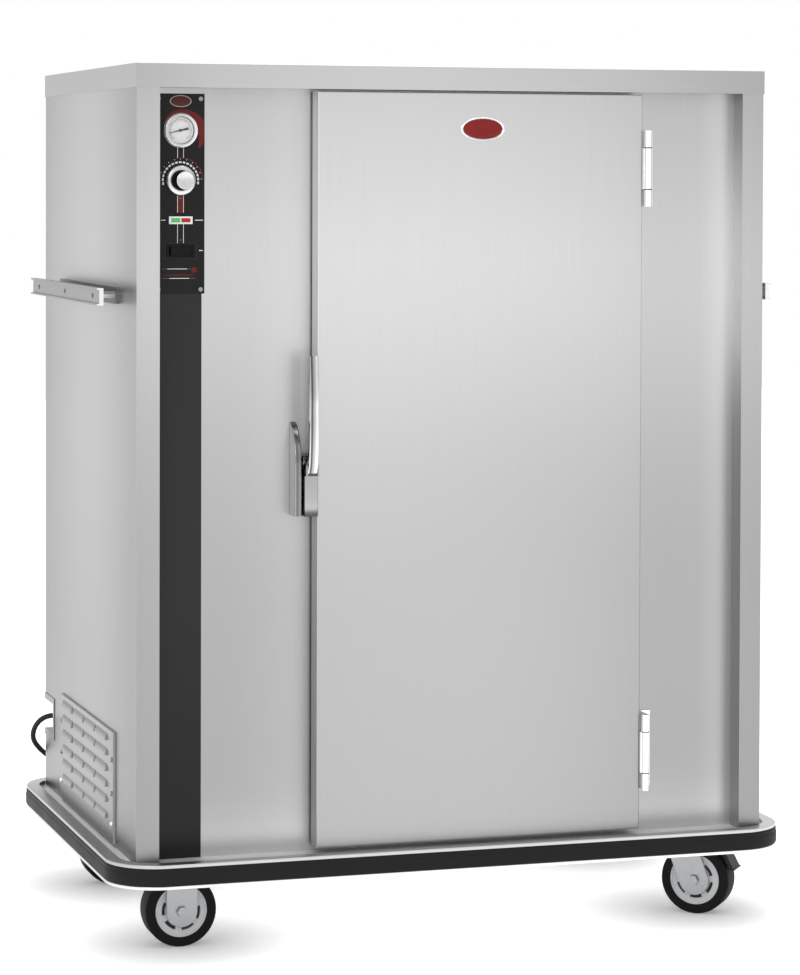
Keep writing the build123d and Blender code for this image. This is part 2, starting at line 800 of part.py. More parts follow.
fan_radius = 90
fan_back_x = liner_x[0] + 12
fan_width = 25
fan_blades = 12
fan_eye = 56
fan_plate = 2
fan_hub = 18
blade_length = 32
blade_place = 70
blade_turn = 35
with BuildPart() as fan_wheel:
    hub_plane = Plane(origin=(fan_back_x, 0, fan_z), x_dir=(0, 1, 0), z_dir=(1, 0, 0))
    rod(hub_plane, fan_radius, fan_plate)
    rod(hub_plane, fan_hub, fan_hub)
    with BuildSketch(hub_plane):
        with PolarLocations(blade_place, fan_blades):
            with Locations(Location((0, 0), blade_turn)):
                Rectangle(blade_length, fan_plate)
    extrude(amount=fan_width)
    with BuildSketch(hub_plane.offset(fan_width - fan_plate)):
        Circle(fan_radius)
        Circle(fan_eye, mode=Mode.SUBTRACT)
    extrude(amount=fan_plate)
    shaft_back = fan_back_x - insulation_left + shaft_reach - motor_plate[1]
    rod(hub_plane.offset(-shaft_back), shaft_radius, shaft_back)
fan_wheel.part.label = "fan_wheel"
export_step(fan_wheel.part, "parts/fan_wheel.step")

# Duct wall in front of the fan, held off the liner by its two returns
duct_x = liner_x[0] + 45
duct_z = (floor_z + 26, liner_top - 31)
intake_radius = 62
outlet_size = (70, 14)
outlet_pitch = 110
outlet_columns = 5
outlet_levels = ledge_levels[3:]
outlet_drop = 5
with BuildPart() as air_duct:
    duct_y = (liner_y[0] + sheet, liner_y[1] - sheet)
    duct_inner_y = (duct_y[0] + sheet, duct_y[1] - sheet)
    block((liner_x[0] + sheet, duct_x), duct_y, duct_z)
    block((liner_x[0] + sheet, duct_x - sheet), duct_inner_y, duct_z, Mode.SUBTRACT)
    duct_wall = Plane.YZ.offset(duct_x - sheet)
    rod(duct_wall.shift_origin((duct_x - sheet, 0, fan_z)), intake_radius, sheet, Mode.SUBTRACT)
    with BuildSketch(duct_wall):
        outlet_middle = (outlet_levels[0] + outlet_levels[-1]) / 2 - outlet_drop
        with Locations((sum(duct_y) / 2, outlet_middle)):
            with GridLocations(outlet_pitch, rack_pitch, outlet_columns, len(outlet_levels)):
                SlotOverall(*outlet_size)
    extrude(amount=sheet, mode=Mode.SUBTRACT)
air_duct.part.label = "air_duct"
export_step(air_duct.part, "parts/air_duct.step")

# One louvre hood, then the louvred cover with a hood over every slot
hood_reach = 4
hood_wall = 1.2
hood_top = (0, louvre_height / 2)
hood_low = (-hood_reach, -louvre_height / 2)
hood_bulge = (-hood_reach * 0.72, 1)
with BuildPart() as hood:
    with BuildSketch(Plane.XZ.offset(-louvre_length / 2)):
        with BuildLine():
            Line(hood_top, (0, louvre_height / 2 - 2.5))
            Line((0, louvre_height / 2 - 2.5), (-hood_reach + hood_wall, -louvre_height / 2))
            Line((-hood_reach + hood_wall, -louvre_height / 2), hood_low)
            ThreePointArc(hood_low, hood_bulge, hood_top)
        make_face()
    extrude(amount=louvre_length)
    with BuildSketch(Plane.XZ.offset(-louvre_length / 2)):
        with BuildLine():
            Line(hood_top, (0, -louvre_height / 2))
            Line((0, -louvre_height / 2), hood_low)
            ThreePointArc(hood_low, hood_bulge, hood_top)
        make_face()
    extrude(amount=hood_wall)
    mirror(about=Plane.XZ)

vent_face = -side - vent_proud
vent_sheet = 1.2
with BuildPart() as vent_cover:
    hollow_y = (vent_y[0] + 22, vent_y[1] - 22)
    hollow_z = (vent_z[0] + 8, vent_z[1] - 6)
    block((vent_face, -side), vent_y, vent_z)
    block((vent_face + vent_sheet, -side), hollow_y, hollow_z, Mode.SUBTRACT)
    for y in louvre_columns:
        for z in louvre_rows:
            with Locations((vent_face, y, z)):
                add(hood.part)
            slot_y = about(y, louvre_length - 4)
            block((vent_face, vent_face + vent_sheet), slot_y, about(z - 3, 8), Mode.SUBTRACT)
vent_cover.part.label = "vent_cover"
export_step(vent_cover.part, "parts/vent_cover.step")

# Gland on the inner wall of the pocket, tapering along the cord
gland_base = pocket_x[1]
gland_hex = 14
gland_nut = 8
gland_radius = 10.5
gland_wall = 1.5
with BuildPart() as cord_gland:
    gland_seat = (gland_base, cord_exit[1], cord_exit[2])
    gland_plane = Plane(origin=gland_seat, x_dir=(0, 1, 0), z_dir=(-1, 0, 0))
    with BuildSketch(gland_plane):
        RegularPolygon(gland_hex, 6)
    extrude(amount=gland_nut)
    with BuildSketch(gland_plane.offset(gland_nut)):
        Circle(gland_radius)
    with BuildSketch(gland_plane.offset(gland_base - cord_exit[0])):
        Circle(cord_radius + gland_wall)
    loft()
cord_gland.part.label = "cord_gland"
export_step(cord_gland.part, "parts/cord_gland.step")

# Free run of the cord: straight runs joined by tangent arcs
route = [Vector(*p) for p in cord_route]
route_radii = []
for a, b, c in zip(route, route[1:], route[2:]):
    turn = radians((b - a).get_angle(c - b))
    route_radii.append(0.45 * min((b - a).length, (c - b).length) / tan(turn / 2))
print("cord run radii", [round(r, 1) for r in route_radii])
with BuildPart() as cord_run:
    with BuildLine() as run_path:
        FilletPolyline(*route, radius=route_radii)
    with BuildSketch(Plane(origin=run_path.line @ 0, z_dir=run_path.line % 0)):
        Circle(cord_radius)
    sweep(path=run_path.line)
run_length = run_path.wire().length
print("cord run volume", cord_run.part.volume, "section times length", pi * cord_radius**2 * run_length)
cord_run.part.label = "cord_run"
export_step(cord_run.part, "parts/cord_run.step")

# Coil behind the cabinet: in along the floor, up a layer where the spiral turns, and out again
coil_lead = 20
coil_start = route[-1] + Vector(2 * cord_radius, 0, 0)
coil_centre = coil_start + Vector(0, coil_start_radius, 0)
coil_middle = coil_quarters / 2


def coil_node(quarter):
    """Point and direction of the coil after a number of quarter turns."""
    angle = quarter * pi / 2 - pi / 2
    radius = coil_start_radius - (coil_middle - abs(quarter - coil_middle)) * coil_pitch / 4
    outwards = 0 if quarter == coil_middle else (1 if quarter > coil_middle else -1)
    growth = outwards * coil_pitch / (2 * pi)
    climb = min(1, max(0, (quarter - coil_middle + 1) / 2))
    rise = 1.5 * coil_layer_rise / pi if quarter == coil_middle else 0
    point = coil_centre + Vector(radius * cos(angle), radius * sin(angle), climb * coil_layer_rise)
    along = Vector(
        growth * cos(angle) - radius * sin(angle),
        growth * sin(angle) + radius * cos(angle),
        rise,
    )
    return point, along.normalized()


def biarc(start, start_way, end, end_way):
    """Two arcs that leave one point and reach another along given directions."""
    chord = end - start
    ways = start_way + end_way
    square = 2 * (1 - start_way.dot(end_way))
    product = chord.dot(ways)
    reach = (-product + (product**2 + square * chord.dot(chord)) ** 0.5) / square
    first = start + start_way * reach
    last = end - end_way * reach
    middle = (first + last) * 0.5
    TangentArc(start, middle, tangent=start_way)
    TangentArc(middle, end, tangent=last - first)


with BuildPart() as cord_coil:
    with BuildLine() as coil_path:
        nodes = [coil_node(q) for q in range(coil_quarters + 1)]
        nodes[0] = (nodes[0][0], Vector(1, 0, 0))
        nodes[-1] = (nodes[-1][0], Vector(1, 0, 0))
        Line(route[-1], nodes[0][0])
        for (p, way), (q, next_way) in zip(nodes, nodes[1:]):
            biarc(p, way, q, next_way)
        coil_end = nodes[-1][0] + Vector(coil_lead, 0, 0)
        Line(nodes[-1][0], coil_end)
    with BuildSketch(Plane(origin=route[-1], z_dir=(1, 0, 0))):
        Circle(cord_radius)
    sweep(path=coil_path.line)
coil_wire = coil_path.wire()
coil_length = coil_wire.length
section = pi * cord_radius**2
print("cord coil volume", cord_coil.part.volume, "section times length", section * coil_length)
samples = 900
trail = [coil_wire.position_at(n / samples) for n in range(samples + 1)]
step = coil_length / samples
skip = int(6 * cord_radius / step)
least = min((a - b).length for n, a in enumerate(trail) for b in trail[n + skip :])
print("cord coil least gap to itself", round(least - 2 * cord_radius, 2))
print("cord length", round(run_length + coil_length))
cord_coil.part.label = "cord_coil"
export_step(cord_coil.part, "parts/cord_coil.step")

# Plug: tapered relief, rounded body and three pins
relief_length = 34
plug_length = 36
plug_radius = 17
pin_length = 18
with BuildPart() as cord_plug:
    plug_plane = Plane(origin=coil_end, x_dir=(0, 1, 0), z_dir=(1, 0, 0))
    with BuildSketch(plug_plane):
        Circle(cord_radius + 0.8)
    with BuildSketch(plug_plane.offset(relief_length)):
        Circle(8)
    loft()
    with BuildSketch(plug_plane.offset(relief_length)):
        Circle(13)
    with BuildSketch(plug_plane.offset(relief_length + 10)):
        Circle(plug_radius)
    loft()
    rod(plug_plane.offset(relief_length + 10), plug_radius, plug_length - 10)
    with BuildSketch(plug_plane.offset(relief_length + plug_length)):
        with GridLocations(12.7, 0, 2, 1):
            Rectangle(1.5, 6.3)
        with Locations((0, -11)):
            Circle(2.4)
    extrude(amount=pin_length)
cord_plug.part.label = "cord_plug"
export_step(cord_plug.part, "parts/cord_plug.step")

# Push handles: backing rail, posts and a lipped bar on each side
lip = 3
web_sink = 4.5
post_radius = 8
handle_parts = []
for outward in (-1, 1):
    wall_x = outward * side
    rail_face = wall_x + outward * rail_thick
    bar_back = wall_x + outward * (handle_reach - handle_depth)
    bar_face = wall_x + outward * handle_reach
    with BuildPart() as rail:
        with BuildSketch(Plane.YZ.offset(wall_x)):
            with Locations((handle_middle, handle_z)):
                SlotOverall(rail_length, handle_height)
        extrude(amount=outward * rail_thick)
    with BuildPart() as posts:
        with BuildSketch(Plane.YZ.offset(rail_face)):
            with Locations(*[(y, handle_z) for y in post_places]):
                Circle(post_radius)
        extrude(amount=bar_back - rail_face)
    with BuildPart() as bar:
        bar_y = about(handle_middle, handle_length)
        block(tuple(sorted((bar_back, bar_face))), bar_y, about(handle_z, handle_height))
        block(
            tuple(sorted((bar_face - outward * web_sink, bar_face))),
            bar_y,
            about(handle_z, handle_height - 2 * lip),
            Mode.SUBTRACT,
        )
        block(
            tuple(sorted((bar_back, bar_face - outward * (web_sink + lip)))),
            about(handle_middle, handle_length - 2 * lip),
            about(handle_z, handle_height - 2 * lip),
            Mode.SUBTRACT,
        )
        with BuildSketch(Plane.YZ.offset(bar_back)):
            with Locations(*[(y, handle_z) for y in post_places]):
                Circle(post_radius)
        extrude(amount=outward * (handle_depth - web_sink))
    handle_parts += [rail.part, posts.part, bar.part]
push_handles = Compound(label="push_handles", children=handle_parts)
export_step(push_handles, "parts/push_handles.step")

# Hinges: the frame leaf carries the pin and both end knuckles, the door leaf the middle one
frame_block = (hinge_x - 2.5, hinge_x + 7.5)
frame_flange = (hinge_x - 2.5, hinge_x + 26.5)
flange_thick = 3
strap_thick = 4
end_length = (hinge_length - hinge_middle) / 2
with BuildPart() as hinge_frame_leaves:
    for z in hinge_heights:
        low = z - hinge_length / 2
        barrel_plane = Plane(origin=(hinge_x, hinge_y, low), x_dir=(1, 0, 0), z_dir=(0, 0, 1))
        for start in (low, z + hinge_middle / 2 + knuckle_gap):
            rod(barrel_plane.offset(start - low), barrel_radius, end_length - knuckle_gap)
            block(frame_block, (hinge_y, face_y), (start, start + end_length - knuckle_gap))
        block(frame_flange, (face_y - flange_thick, face_y), (low, low + hinge_length))
        rod(barrel_plane, pin_radius, hinge_length)
hinge_frame_leaves.part.label = "hinge_frame_leaves"
export_step(hinge_frame_leaves.part, "parts/hinge_frame_leaves.step")

with BuildPart() as hinge_door_leaves:
    for z in hinge_heights:
        middle = about(z, hinge_middle)
        strap_y = (hinge_y + 9, door_back - 4)
        block((door_right, door_right + strap_thick), strap_y, about(z, hinge_length))
        block((door_right, hinge_x), (hinge_y, hinge_y + 13), middle)
        middle_plane = Plane(origin=(hinge_x, hinge_y, middle[0]), x_dir=(1, 0, 0), z_dir=(0, 0, 1))
        rod(middle_plane, barrel_radius, hinge_middle)
        rod(middle_plane, pin_radius + bearing_gap, hinge_middle, Mode.SUBTRACT)
hinge_door_leaves.part.label = "hinge_door_leaves"
export_step(hinge_door_leaves.part, "parts/hinge_door_leaves.step")

# Door: folded outer skin, inner skin, insulation, gasket and badge plate
door_x = (door_left, door_right)
door_z = (door_bottom, door_top)
skin_x = (door_left + sheet, door_right - sheet)
skin_z = (door_bottom + sheet, door_top - sheet)
with BuildPart() as door_outer_skin:
    block(door_x, (front, door_back), door_z)
    fillet(door_outer_skin.faces().sort_by(Axis.Y)[0].edges(), 3)
    block(skin_x, (front + sheet, door_back), skin_z, Mode.SUBTRACT)
door_outer_skin.part.label = "door_outer_skin"
export_step(door_outer_skin.part, "parts/door_outer_skin.step")

with BuildPart() as door_inner_skin:
    block(skin_x, (door_back - sheet, door_back), skin_z)
door_inner_skin.part.label = "door_inner_skin"
export_step(door_inner_skin.part, "parts/door_inner_skin.step")

with BuildPart() as door_insulation:
    block(skin_x, (front + sheet, door_back - sheet), skin_z)
door_insulation.part.label = "door_insulation"
export_step(door_insulation.part, "parts/door_insulation.step")

gasket_width = 14
gasket_inset_left = 6
gasket_inset_right = 16
gasket_inset_z = 8
with BuildPart() as door_gasket:
    gasket_x = (door_left + gasket_inset_left, door_right - gasket_inset_right)
    gasket_z = (door_bottom + gasket_inset_z, door_top - gasket_inset_z)
    gasket_y = (door_back, face_y - clearance)
    block(gasket_x, gasket_y, gasket_z)
    block(
        (gasket_x[0] + gasket_width, gasket_x[1] - gasket_width),
        gasket_y,
        (gasket_z[0] + gasket_width, gasket_z[1] - gasket_width),
        Mode.SUBTRACT,
    )
door_gasket.part.label = "door_gasket"
export_step(door_gasket.part, "parts/door_gasket.step")

badge_size = (84, 42.5)
badge_z = door_top - 65.4
badge_thick = 2
with BuildPart() as door_badge:
    with BuildSketch(facing(front)):
        with Locations(((door_left + door_right) / 2, badge_z)):
            Ellipse(badge_size[0] / 2, badge_size[1] / 2)
    extrude(amount=badge_thick)
    chamfer(door_badge.faces().sort_by(Axis.Y)[0].edges(), 0.6)
door_badge.part.label = "door_badge"
export_step(door_badge.part, "parts/door_badge.step")

# Edge latch: body on the door's edge with a roller, and the lever on its cross pin
latch_back = door_back - 2.5
latch_front = front - 4
latch_top = latch_z[1] + 35
cheek = 3
hub_radius = 7.5
lever_pin = 3
roller_radius = 8
roller_y = front + 7
roller_z = latch_top - 8.5
with BuildPart() as latch_body:
    block((latch_left, door_left), (latch_front, latch_back), latch_z)
    fillet(latch_body.edges().filter_by(Axis.Z).sort_by(Axis.X)[:2], 5)
    block((latch_left, door_left), (latch_back - 16, latch_back), (latch_z[0], latch_top))
    for x in (latch_left, door_left - cheek):
        cheek_y = (lever_pivot_y - hub_radius, latch_back - 16)
        block((x, x + cheek), cheek_y, (latch_z[1], lever_pivot_z + 9))
    pin_plane = Plane.YZ.offset(latch_left).shift_origin((latch_left, lever_pivot_y, lever_pivot_z))
    rod(pin_plane, lever_pin, door_left - latch_left)
    block((latch_left + 6, latch_left + 9), (roller_y - 4, latch_back - 16), about(roller_z, 9))
    roller_plane = Plane.YZ.offset(latch_left - 2).shift_origin((latch_left - 2, roller_y, roller_z))
    rod(roller_plane, lever_pin, 8)
with BuildPart() as latch_roller:
    rod(roller_plane, roller_radius, 6)
    rod(roller_plane, lever_pin, 6, Mode.SUBTRACT)
    fillet(latch_roller.faces().sort_by(Axis.X)[0].outer_wire().edges(), 1.5)
latch_pieces = Compound(label="latch_body", children=[latch_body.part, latch_roller.part])
export_step(latch_pieces, "parts/latch_body.step")

lever_width = 17
lever_tip_width = 13
lever_thick = 9
lever_front = front - 24
lever_x = (latch_left + door_left) / 2
with BuildPart() as latch_lever:
    hub_gap = clearance
    hub_x = (latch_left + cheek + hub_gap, door_left - cheek - hub_gap)
    hub_plane = Plane.YZ.offset(hub_x[0]).shift_origin((hub_x[0], lever_pivot_y, lever_pivot_z))
    rod(hub_plane, hub_radius, hub_x[1] - hub_x[0])
    with BuildSketch(Plane.YZ.offset(lever_x)) as lever_side:
        with BuildLine():
            Spline(
                (lever_pivot_y - 2, lever_pivot_z - 5),
                (lever_front + 3, lever_pivot_z + 22),
                (lever_front, lever_pivot_z + 100),
                (lever_front + 5, lever_top),
                tangents=((-1, 0.6), (0.1, 1)),
            )
            Line((lever_front + 5, lever_top), (lever_front + 9, lever_top - 2))
            Spline(
                (lever_front + 9, lever_top - 2),
                (lever_front + lever_thick, lever_pivot_z + 100),
                (lever_front + lever_thick + 3, lever_pivot_z + 30),
                (lever_pivot_y + 4, lever_pivot_z + 4),
                tangents=((-0.15, -1), (1, -1)),
            )
            Line((lever_pivot_y + 4, lever_pivot_z + 4), (lever_pivot_y - 2, lever_pivot_z - 5))
        make_face()
    extrude(amount=lever_width / 2, both=True)
    with BuildSketch(facing(lever_front - 10)) as lever_outline:
        with BuildLine():
            Polyline(
                (lever_x - lever_width / 2, lever_pivot_z - 20),
                (lever_x + lever_width / 2, lever_pivot_z - 20),
                (lever_x + lever_tip_width / 2, lever_top + 1),
                (lever_x - lever_tip_width / 2, lever_top + 1),
                close=True,
            )
        make_face()
    extrude(amount=-60, mode=Mode.INTERSECT)
    rod(hub_plane, lever_pin + bearing_gap, hub_x[1] - hub_x[0], Mode.SUBTRACT)
latch_lever.part.label = "latch_lever"
export_step(latch_lever.part, "parts/latch_lever.step")

strike_front = front + 3
strike_z = (latch_z[0], lever_pivot_z + 84)
strike_shoulder_z = latch_top - 12
strike_bend = (strike_front + 12, strike_z[1] - 29)
with BuildPart() as latch_strike:
    with BuildSketch(Plane.YZ.offset(strike_x[0])):
        with BuildLine():
            Line((face_y, strike_z[0]), (strike_front, strike_z[0]))
            Line((strike_front, strike_z[0]), (strike_front, strike_shoulder_z))
            ThreePointArc((strike_front, strike_shoulder_z), strike_bend, (face_y, strike_z[1]))
            Line((face_y, strike_z[1]), (face_y, strike_z[0]))
        make_face()
    extrude(amount=strike_x[1] - strike_x[0])
    fillet(latch_strike.edges().filter_by(Axis.Z), 2.5)
latch_strike.part.label = "latch_strike"
export_step(latch_strike.part, "parts/latch_strike.step")

# Caster plates: bolted under the thick plates, the right pair with a king pin
plate_size = (100, 80)
plate_low = caster_plate_top - caster_plate_thick
bolt_spacing = (74, 54)
crown_low = 152
king_low = 149
with BuildPart() as swivel_plates:
    with BuildSketch(Plane.XY.offset(plate_low)):
        with Locations((caster_x, -caster_y), (caster_x, caster_y)):
            RectangleRounded(*plate_size, 8)
    extrude(amount=caster_plate_thick)
    with BuildSketch(Plane.XY.offset(king_low)):
        with Locations((caster_x, -caster_y), (caster_x, caster_y)):
            Circle(axle_radius)
    extrude(amount=plate_low - king_low)
    with BuildSketch(Plane.XY.offset(plate_low)):
        for y in (-caster_y, caster_y):
            with Locations((caster_x, y)):
                with GridLocations(*bolt_spacing, 2, 2):
                    RegularPolygon(6.5, 6)
    extrude(amount=-5)
swivel_plates.part.label = "swivel_plates"
export_step(swivel_plates.part, "parts/swivel_plates.step")

leg_in = fork_gap / 2
leg_out = leg_in + fork_thick
leg_half = 28.5
axle_out = leg_out + 7
axle_hex = 10


def axle_with_heads(plane):
    """An axle across the fork, centred on a plane, with a head and a nut."""
    rod(plane.offset(-leg_out), axle_radius, 2 * leg_out)
    with BuildSketch(plane.offset(leg_out)) as head:
        RegularPolygon(axle_hex, 6)
    extrude(head.sketch, amount=axle_out - leg_out)
    with BuildSketch(plane.offset(-leg_out)) as nut:
        RegularPolygon(axle_hex, 6)
    extrude(nut.sketch, amount=leg_out - axle_out)


rigid_parts = []
for y in (-caster_y, caster_y):
    with BuildPart() as fork:
        with BuildSketch(Plane.XY.offset(plate_low)):
            with Locations((-caster_x, y)):
                RectangleRounded(*plate_size, 8)
        extrude(amount=caster_plate_thick)
        middle = Plane(origin=(-caster_x, y, wheel_radius), x_dir=(1, 0, 0), z_dir=(0, -1, 0))
        for start, amount in ((leg_in, fork_thick), (-leg_in, -fork_thick)):
            with BuildSketch(middle.offset(start)):
                with BuildLine():
                    leg_top = plate_low - wheel_radius
                    Line((-leg_half, 0), (-leg_half, leg_top))
                    Line((-leg_half, leg_top), (leg_half, leg_top))
                    Line((leg_half, leg_top), (leg_half, 0))
                    ThreePointArc((leg_half, 0), (0, -leg_half), (-leg_half, 0))
                make_face()
                Circle(axle_radius, mode=Mode.SUBTRACT)
            extrude(amount=amount)
        with BuildSketch(Plane.XY.offset(plate_low)):
            with Locations((-caster_x, y)):
                with GridLocations(*bolt_spacing, 2, 2):
                    RegularPolygon(6.5, 6)
        extrude(amount=-5)
    with BuildPart() as axle:
        axle_with_heads(middle)
    rigid_parts += [fork.part, axle.part]
rigid_forks = Compound(label="rigid_forks", children=rigid_parts)
export_step(rigid_forks, "parts/rigid_forks.step")

# Wheel places: the rigid pair rolls along X, each swivelled wheel trails along its heading.
# The last value of a place is how far that wheel has rolled, in degrees
wheel_places = {
    "front_left": ((-caster_x, -caster_y), 0, -8),
    "back_left": ((-caster_x, caster_y), 0, 20),
}
for name, y, rolled in (("front", -caster_y, 34), ("back", caster_y, 0)):
    heading = swivel_headings[name]
    centre = (caster_x + caster_trail * cos(radians(heading)), y + caster_trail * sin(radians(heading)))
    wheel_places[name + "_right"] = (centre, heading, rolled)

hub_boss = 15
web_half = 8
slot_radius = 32.75
slot_width = 6.5
slot_turn = 31
for name, (centre, heading, rolled) in wheel_places.items():
    roll = Plane(
        origin=(centre[0], centre[1], wheel_radius),
        x_dir=(cos(radians(heading)), sin(radians(heading)), 0),
        z_dir=(sin(radians(heading)), -cos(radians(heading)), 0),
    )
    with BuildPart() as tyre:
        with BuildSketch(roll):
            Circle(wheel_radius)
        extrude(amount=tread_width / 2, both=True)
        fillet(tyre.edges(), tread_round)
        rod(roll.offset(-tread_width / 2), rim_radius, tread_width, Mode.SUBTRACT)
    with BuildPart() as hub:
        rod(roll.offset(-tread_width / 2 + 1), rim_radius, tread_width - 2)
        for start, amount in ((web_half, tread_width / 2), (-web_half, -tread_width / 2)):
            with BuildSketch(roll.offset(start)):
                Circle(rim_radius - 4)
                Circle(hub_boss, mode=Mode.SUBTRACT)
            extrude(amount=amount, mode=Mode.SUBTRACT)
        with BuildSketch(roll.offset(-web_half)):
            for n in range(6):
                slot_start = rolled + n * 60 - slot_turn / 2
                SlotArc(CenterArc((0, 0), slot_radius, slot_start, slot_turn), slot_width)
        extrude(amount=2 * web_half, mode=Mode.SUBTRACT)
        rod(roll.offset(-tread_width / 2), hub_boss, tread_width)
        rod(roll.offset(-tread_width / 2), axle_radius + bearing_gap, tread_width, Mode.SUBTRACT)
    wheel = Compound(label="wheel_" + name, children=[tyre.part, hub.part])
    export_step(wheel, f"parts/wheel_{name}.step")

# Swivel forks with their axles, and the brake pedal behind each wheel
pedal_reach = 90
pedal_height = 128 - wheel_radius
crown_line = crown_low - wheel_radius
crown_radius = 30
crown_shift = 7
leg_lean = atan2(caster_trail - crown_shift, crown_line)
leg_edge = (leg_half * cos(leg_lean), leg_half * sin(leg_lean))
leg_crown_half = leg_half / cos(leg_lean)
pedal_pin = 3
pedal_eye = 4.5
for name, y in (("front", -caster_y), ("back", caster_y)):
    heading = radians(swivel_headings[name])
    along = (cos(heading), sin(heading), 0)
    across = (sin(heading), -cos(heading), 0)
    swivel = Plane(origin=(caster_x, y, wheel_radius), x_dir=along, z_dir=across)
    crown = Plane(origin=(caster_x, y, 0), x_dir=along, z_dir=(0, 0, 1))
    axle_plane = Plane(
        origin=(caster_x + caster_trail * along[0], y + caster_trail * along[1], wheel_radius),
        x_dir=along,
        z_dir=across,
    )
    pedal_plane = Plane(
        origin=(
            caster_x + pedal_reach * along[0],
            y + pedal_reach * along[1],
            wheel_radius + pedal_height,
        ),
        x_dir=along,
        z_dir=across,
    )
    with BuildPart() as fork:
        rod(crown.offset(crown_low), crown_radius, plate_low - clearance - crown_low)
        fillet(fork.faces().sort_by(Axis.Z)[-1].edges(), 3)
        with BuildSketch(crown.offset(crown_low - fork_thick)):
            with Locations((crown_shift, 0)):
                Rectangle(2 * leg_crown_half, 2 * leg_out)
        extrude(amount=fork_thick)
        for start, amount in ((leg_in, fork_thick), (-leg_in, -fork_thick)):
            with BuildSketch(swivel.offset(start)):
                with BuildLine():
                    Polyline(
                        (crown_shift - leg_crown_half, crown_line),
                        (crown_shift + leg_crown_half, crown_line),
                        (caster_trail + leg_edge[0], leg_edge[1]),
                        (caster_trail - leg_edge[0], -leg_edge[1]),
                        close=True,
                    )
                make_face()
                with BuildLine():
                    Polyline(
                        (0, crown_line),
                        (caster_trail, crown_line),
                        (pedal_reach + 5, pedal_height + 6),
                        (pedal_reach + 5, pedal_height - 5),
                        (0, crown_line - 14),
                        close=True,
                    )
                make_face()
                with Locations((caster_trail, 0)):
                    Circle(leg_half)
                    Circle(axle_radius, mode=Mode.SUBTRACT)
            extrude(amount=amount)
        rod(pedal_plane.offset(-leg_out), pedal_pin, 2 * leg_out)
        king_plane = crown.offset(crown_low - fork_thick)
        rod(king_plane, axle_radius + bearing_gap, plate_low - crown_low + fork_thick, Mode.SUBTRACT)
    with BuildPart() as axle:
        axle_with_heads(axle_plane)
    swivel_fork = Compound(label="swivel_fork_" + name, children=[fork.part, axle.part])
    export_step(swivel_fork, f"parts/swivel_fork_{name}.step")

    with BuildPart() as brake_pedal:
        with BuildSketch(pedal_plane):
            with BuildLine():
                Polyline(
                    (0, pedal_eye),
                    (4, 3),
                    (25, -37),
                    (28, -37),
                    (28, -40),
                    (18, -40),
                    (0, -pedal_eye),
                    close=True,
                )
            make_face()
            Circle(pedal_eye)
        extrude(amount=leg_in - 6, both=True)
        rod(pedal_plane.offset(-leg_in), pedal_pin + bearing_gap, 2 * leg_in, Mode.SUBTRACT)
    brake_pedal.part.label = "brake_pedal_" + name
    export_step(brake_pedal.part, f"parts/brake_pedal_{name}.step")
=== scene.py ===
import json
import math

import bmesh
import bpy
from mathutils import Matrix, Vector


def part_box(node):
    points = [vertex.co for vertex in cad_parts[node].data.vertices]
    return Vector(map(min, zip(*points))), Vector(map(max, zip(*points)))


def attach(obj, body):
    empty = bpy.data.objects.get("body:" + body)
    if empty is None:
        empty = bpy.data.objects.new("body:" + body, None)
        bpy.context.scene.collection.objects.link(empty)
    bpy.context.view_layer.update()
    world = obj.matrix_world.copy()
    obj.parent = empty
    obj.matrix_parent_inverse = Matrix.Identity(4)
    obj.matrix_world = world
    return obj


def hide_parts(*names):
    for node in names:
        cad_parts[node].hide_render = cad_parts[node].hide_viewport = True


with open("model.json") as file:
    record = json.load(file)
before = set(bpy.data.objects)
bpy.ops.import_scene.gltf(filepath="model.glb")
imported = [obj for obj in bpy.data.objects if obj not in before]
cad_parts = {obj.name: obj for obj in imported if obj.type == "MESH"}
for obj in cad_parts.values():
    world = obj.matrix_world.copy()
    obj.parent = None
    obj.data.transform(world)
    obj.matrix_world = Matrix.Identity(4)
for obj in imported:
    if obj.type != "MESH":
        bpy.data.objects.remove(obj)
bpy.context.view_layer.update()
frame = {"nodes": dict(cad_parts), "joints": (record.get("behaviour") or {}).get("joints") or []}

# Camera: it sees the cabinet from its left front, a little below its top, through a long lens.
# It looks down a little, and the middle of its picture lies below its line of sight.
view_place = Vector((-1.8826, -6.0322, 1.3995))
view_turn = math.radians(-17.468)
view_dip = math.radians(-1.458)
view_roll = math.radians(0.177)
level_view = math.pi / 2
camera_data = bpy.data.cameras.new("studio_camera")
camera_data.sensor_fit = "HORIZONTAL"
camera_data.sensor_width = 36.0
camera_data.lens = 146.65
camera_data.shift_y = -0.2844
camera_data.clip_end = 60.0
camera = bpy.data.objects.new("studio_camera", camera_data)
bpy.context.scene.collection.objects.link(camera)
camera.matrix_world = (
    Matrix.Translation(view_place)
    @ Matrix.Rotation(view_turn, 4, "Z")
    @ Matrix.Rotation(level_view + view_dip, 4, "X")
    @ Matrix.Rotation(view_roll, 4, "Z")
)
bpy.context.scene.camera = camera
bpy.context.scene.view_settings.view_transform = "Standard"

# Floor: it looks white to the camera and in the metal, and still takes the cabinet's shadow.
# Close to each wheel its glow falls off and its colour is painted darker, a painted shadow where little light
# comes in under the deck.
floor_half = 14.0
floor_roughness = 0.9
floor_shaded = (0.66, 0.66, 0.66)
floor_open = (0.93, 0.93, 0.93)
floor_glow_strength = 0.76
wheel_shade_reach = 0.38
wheel_shade_level = 0.28


def new_paint(name):
    """A fresh material, with its node tree and its shader."""
    paint = bpy.data.materials.new(name)
    paint.use_nodes = True
    return paint, paint.node_tree, paint.node_tree.nodes["Principled BSDF"]


def object_place(tree):
    """Where a point lies on its piece, in metres."""
    return tree.nodes.new("ShaderNodeTexCoord").outputs["Object"]


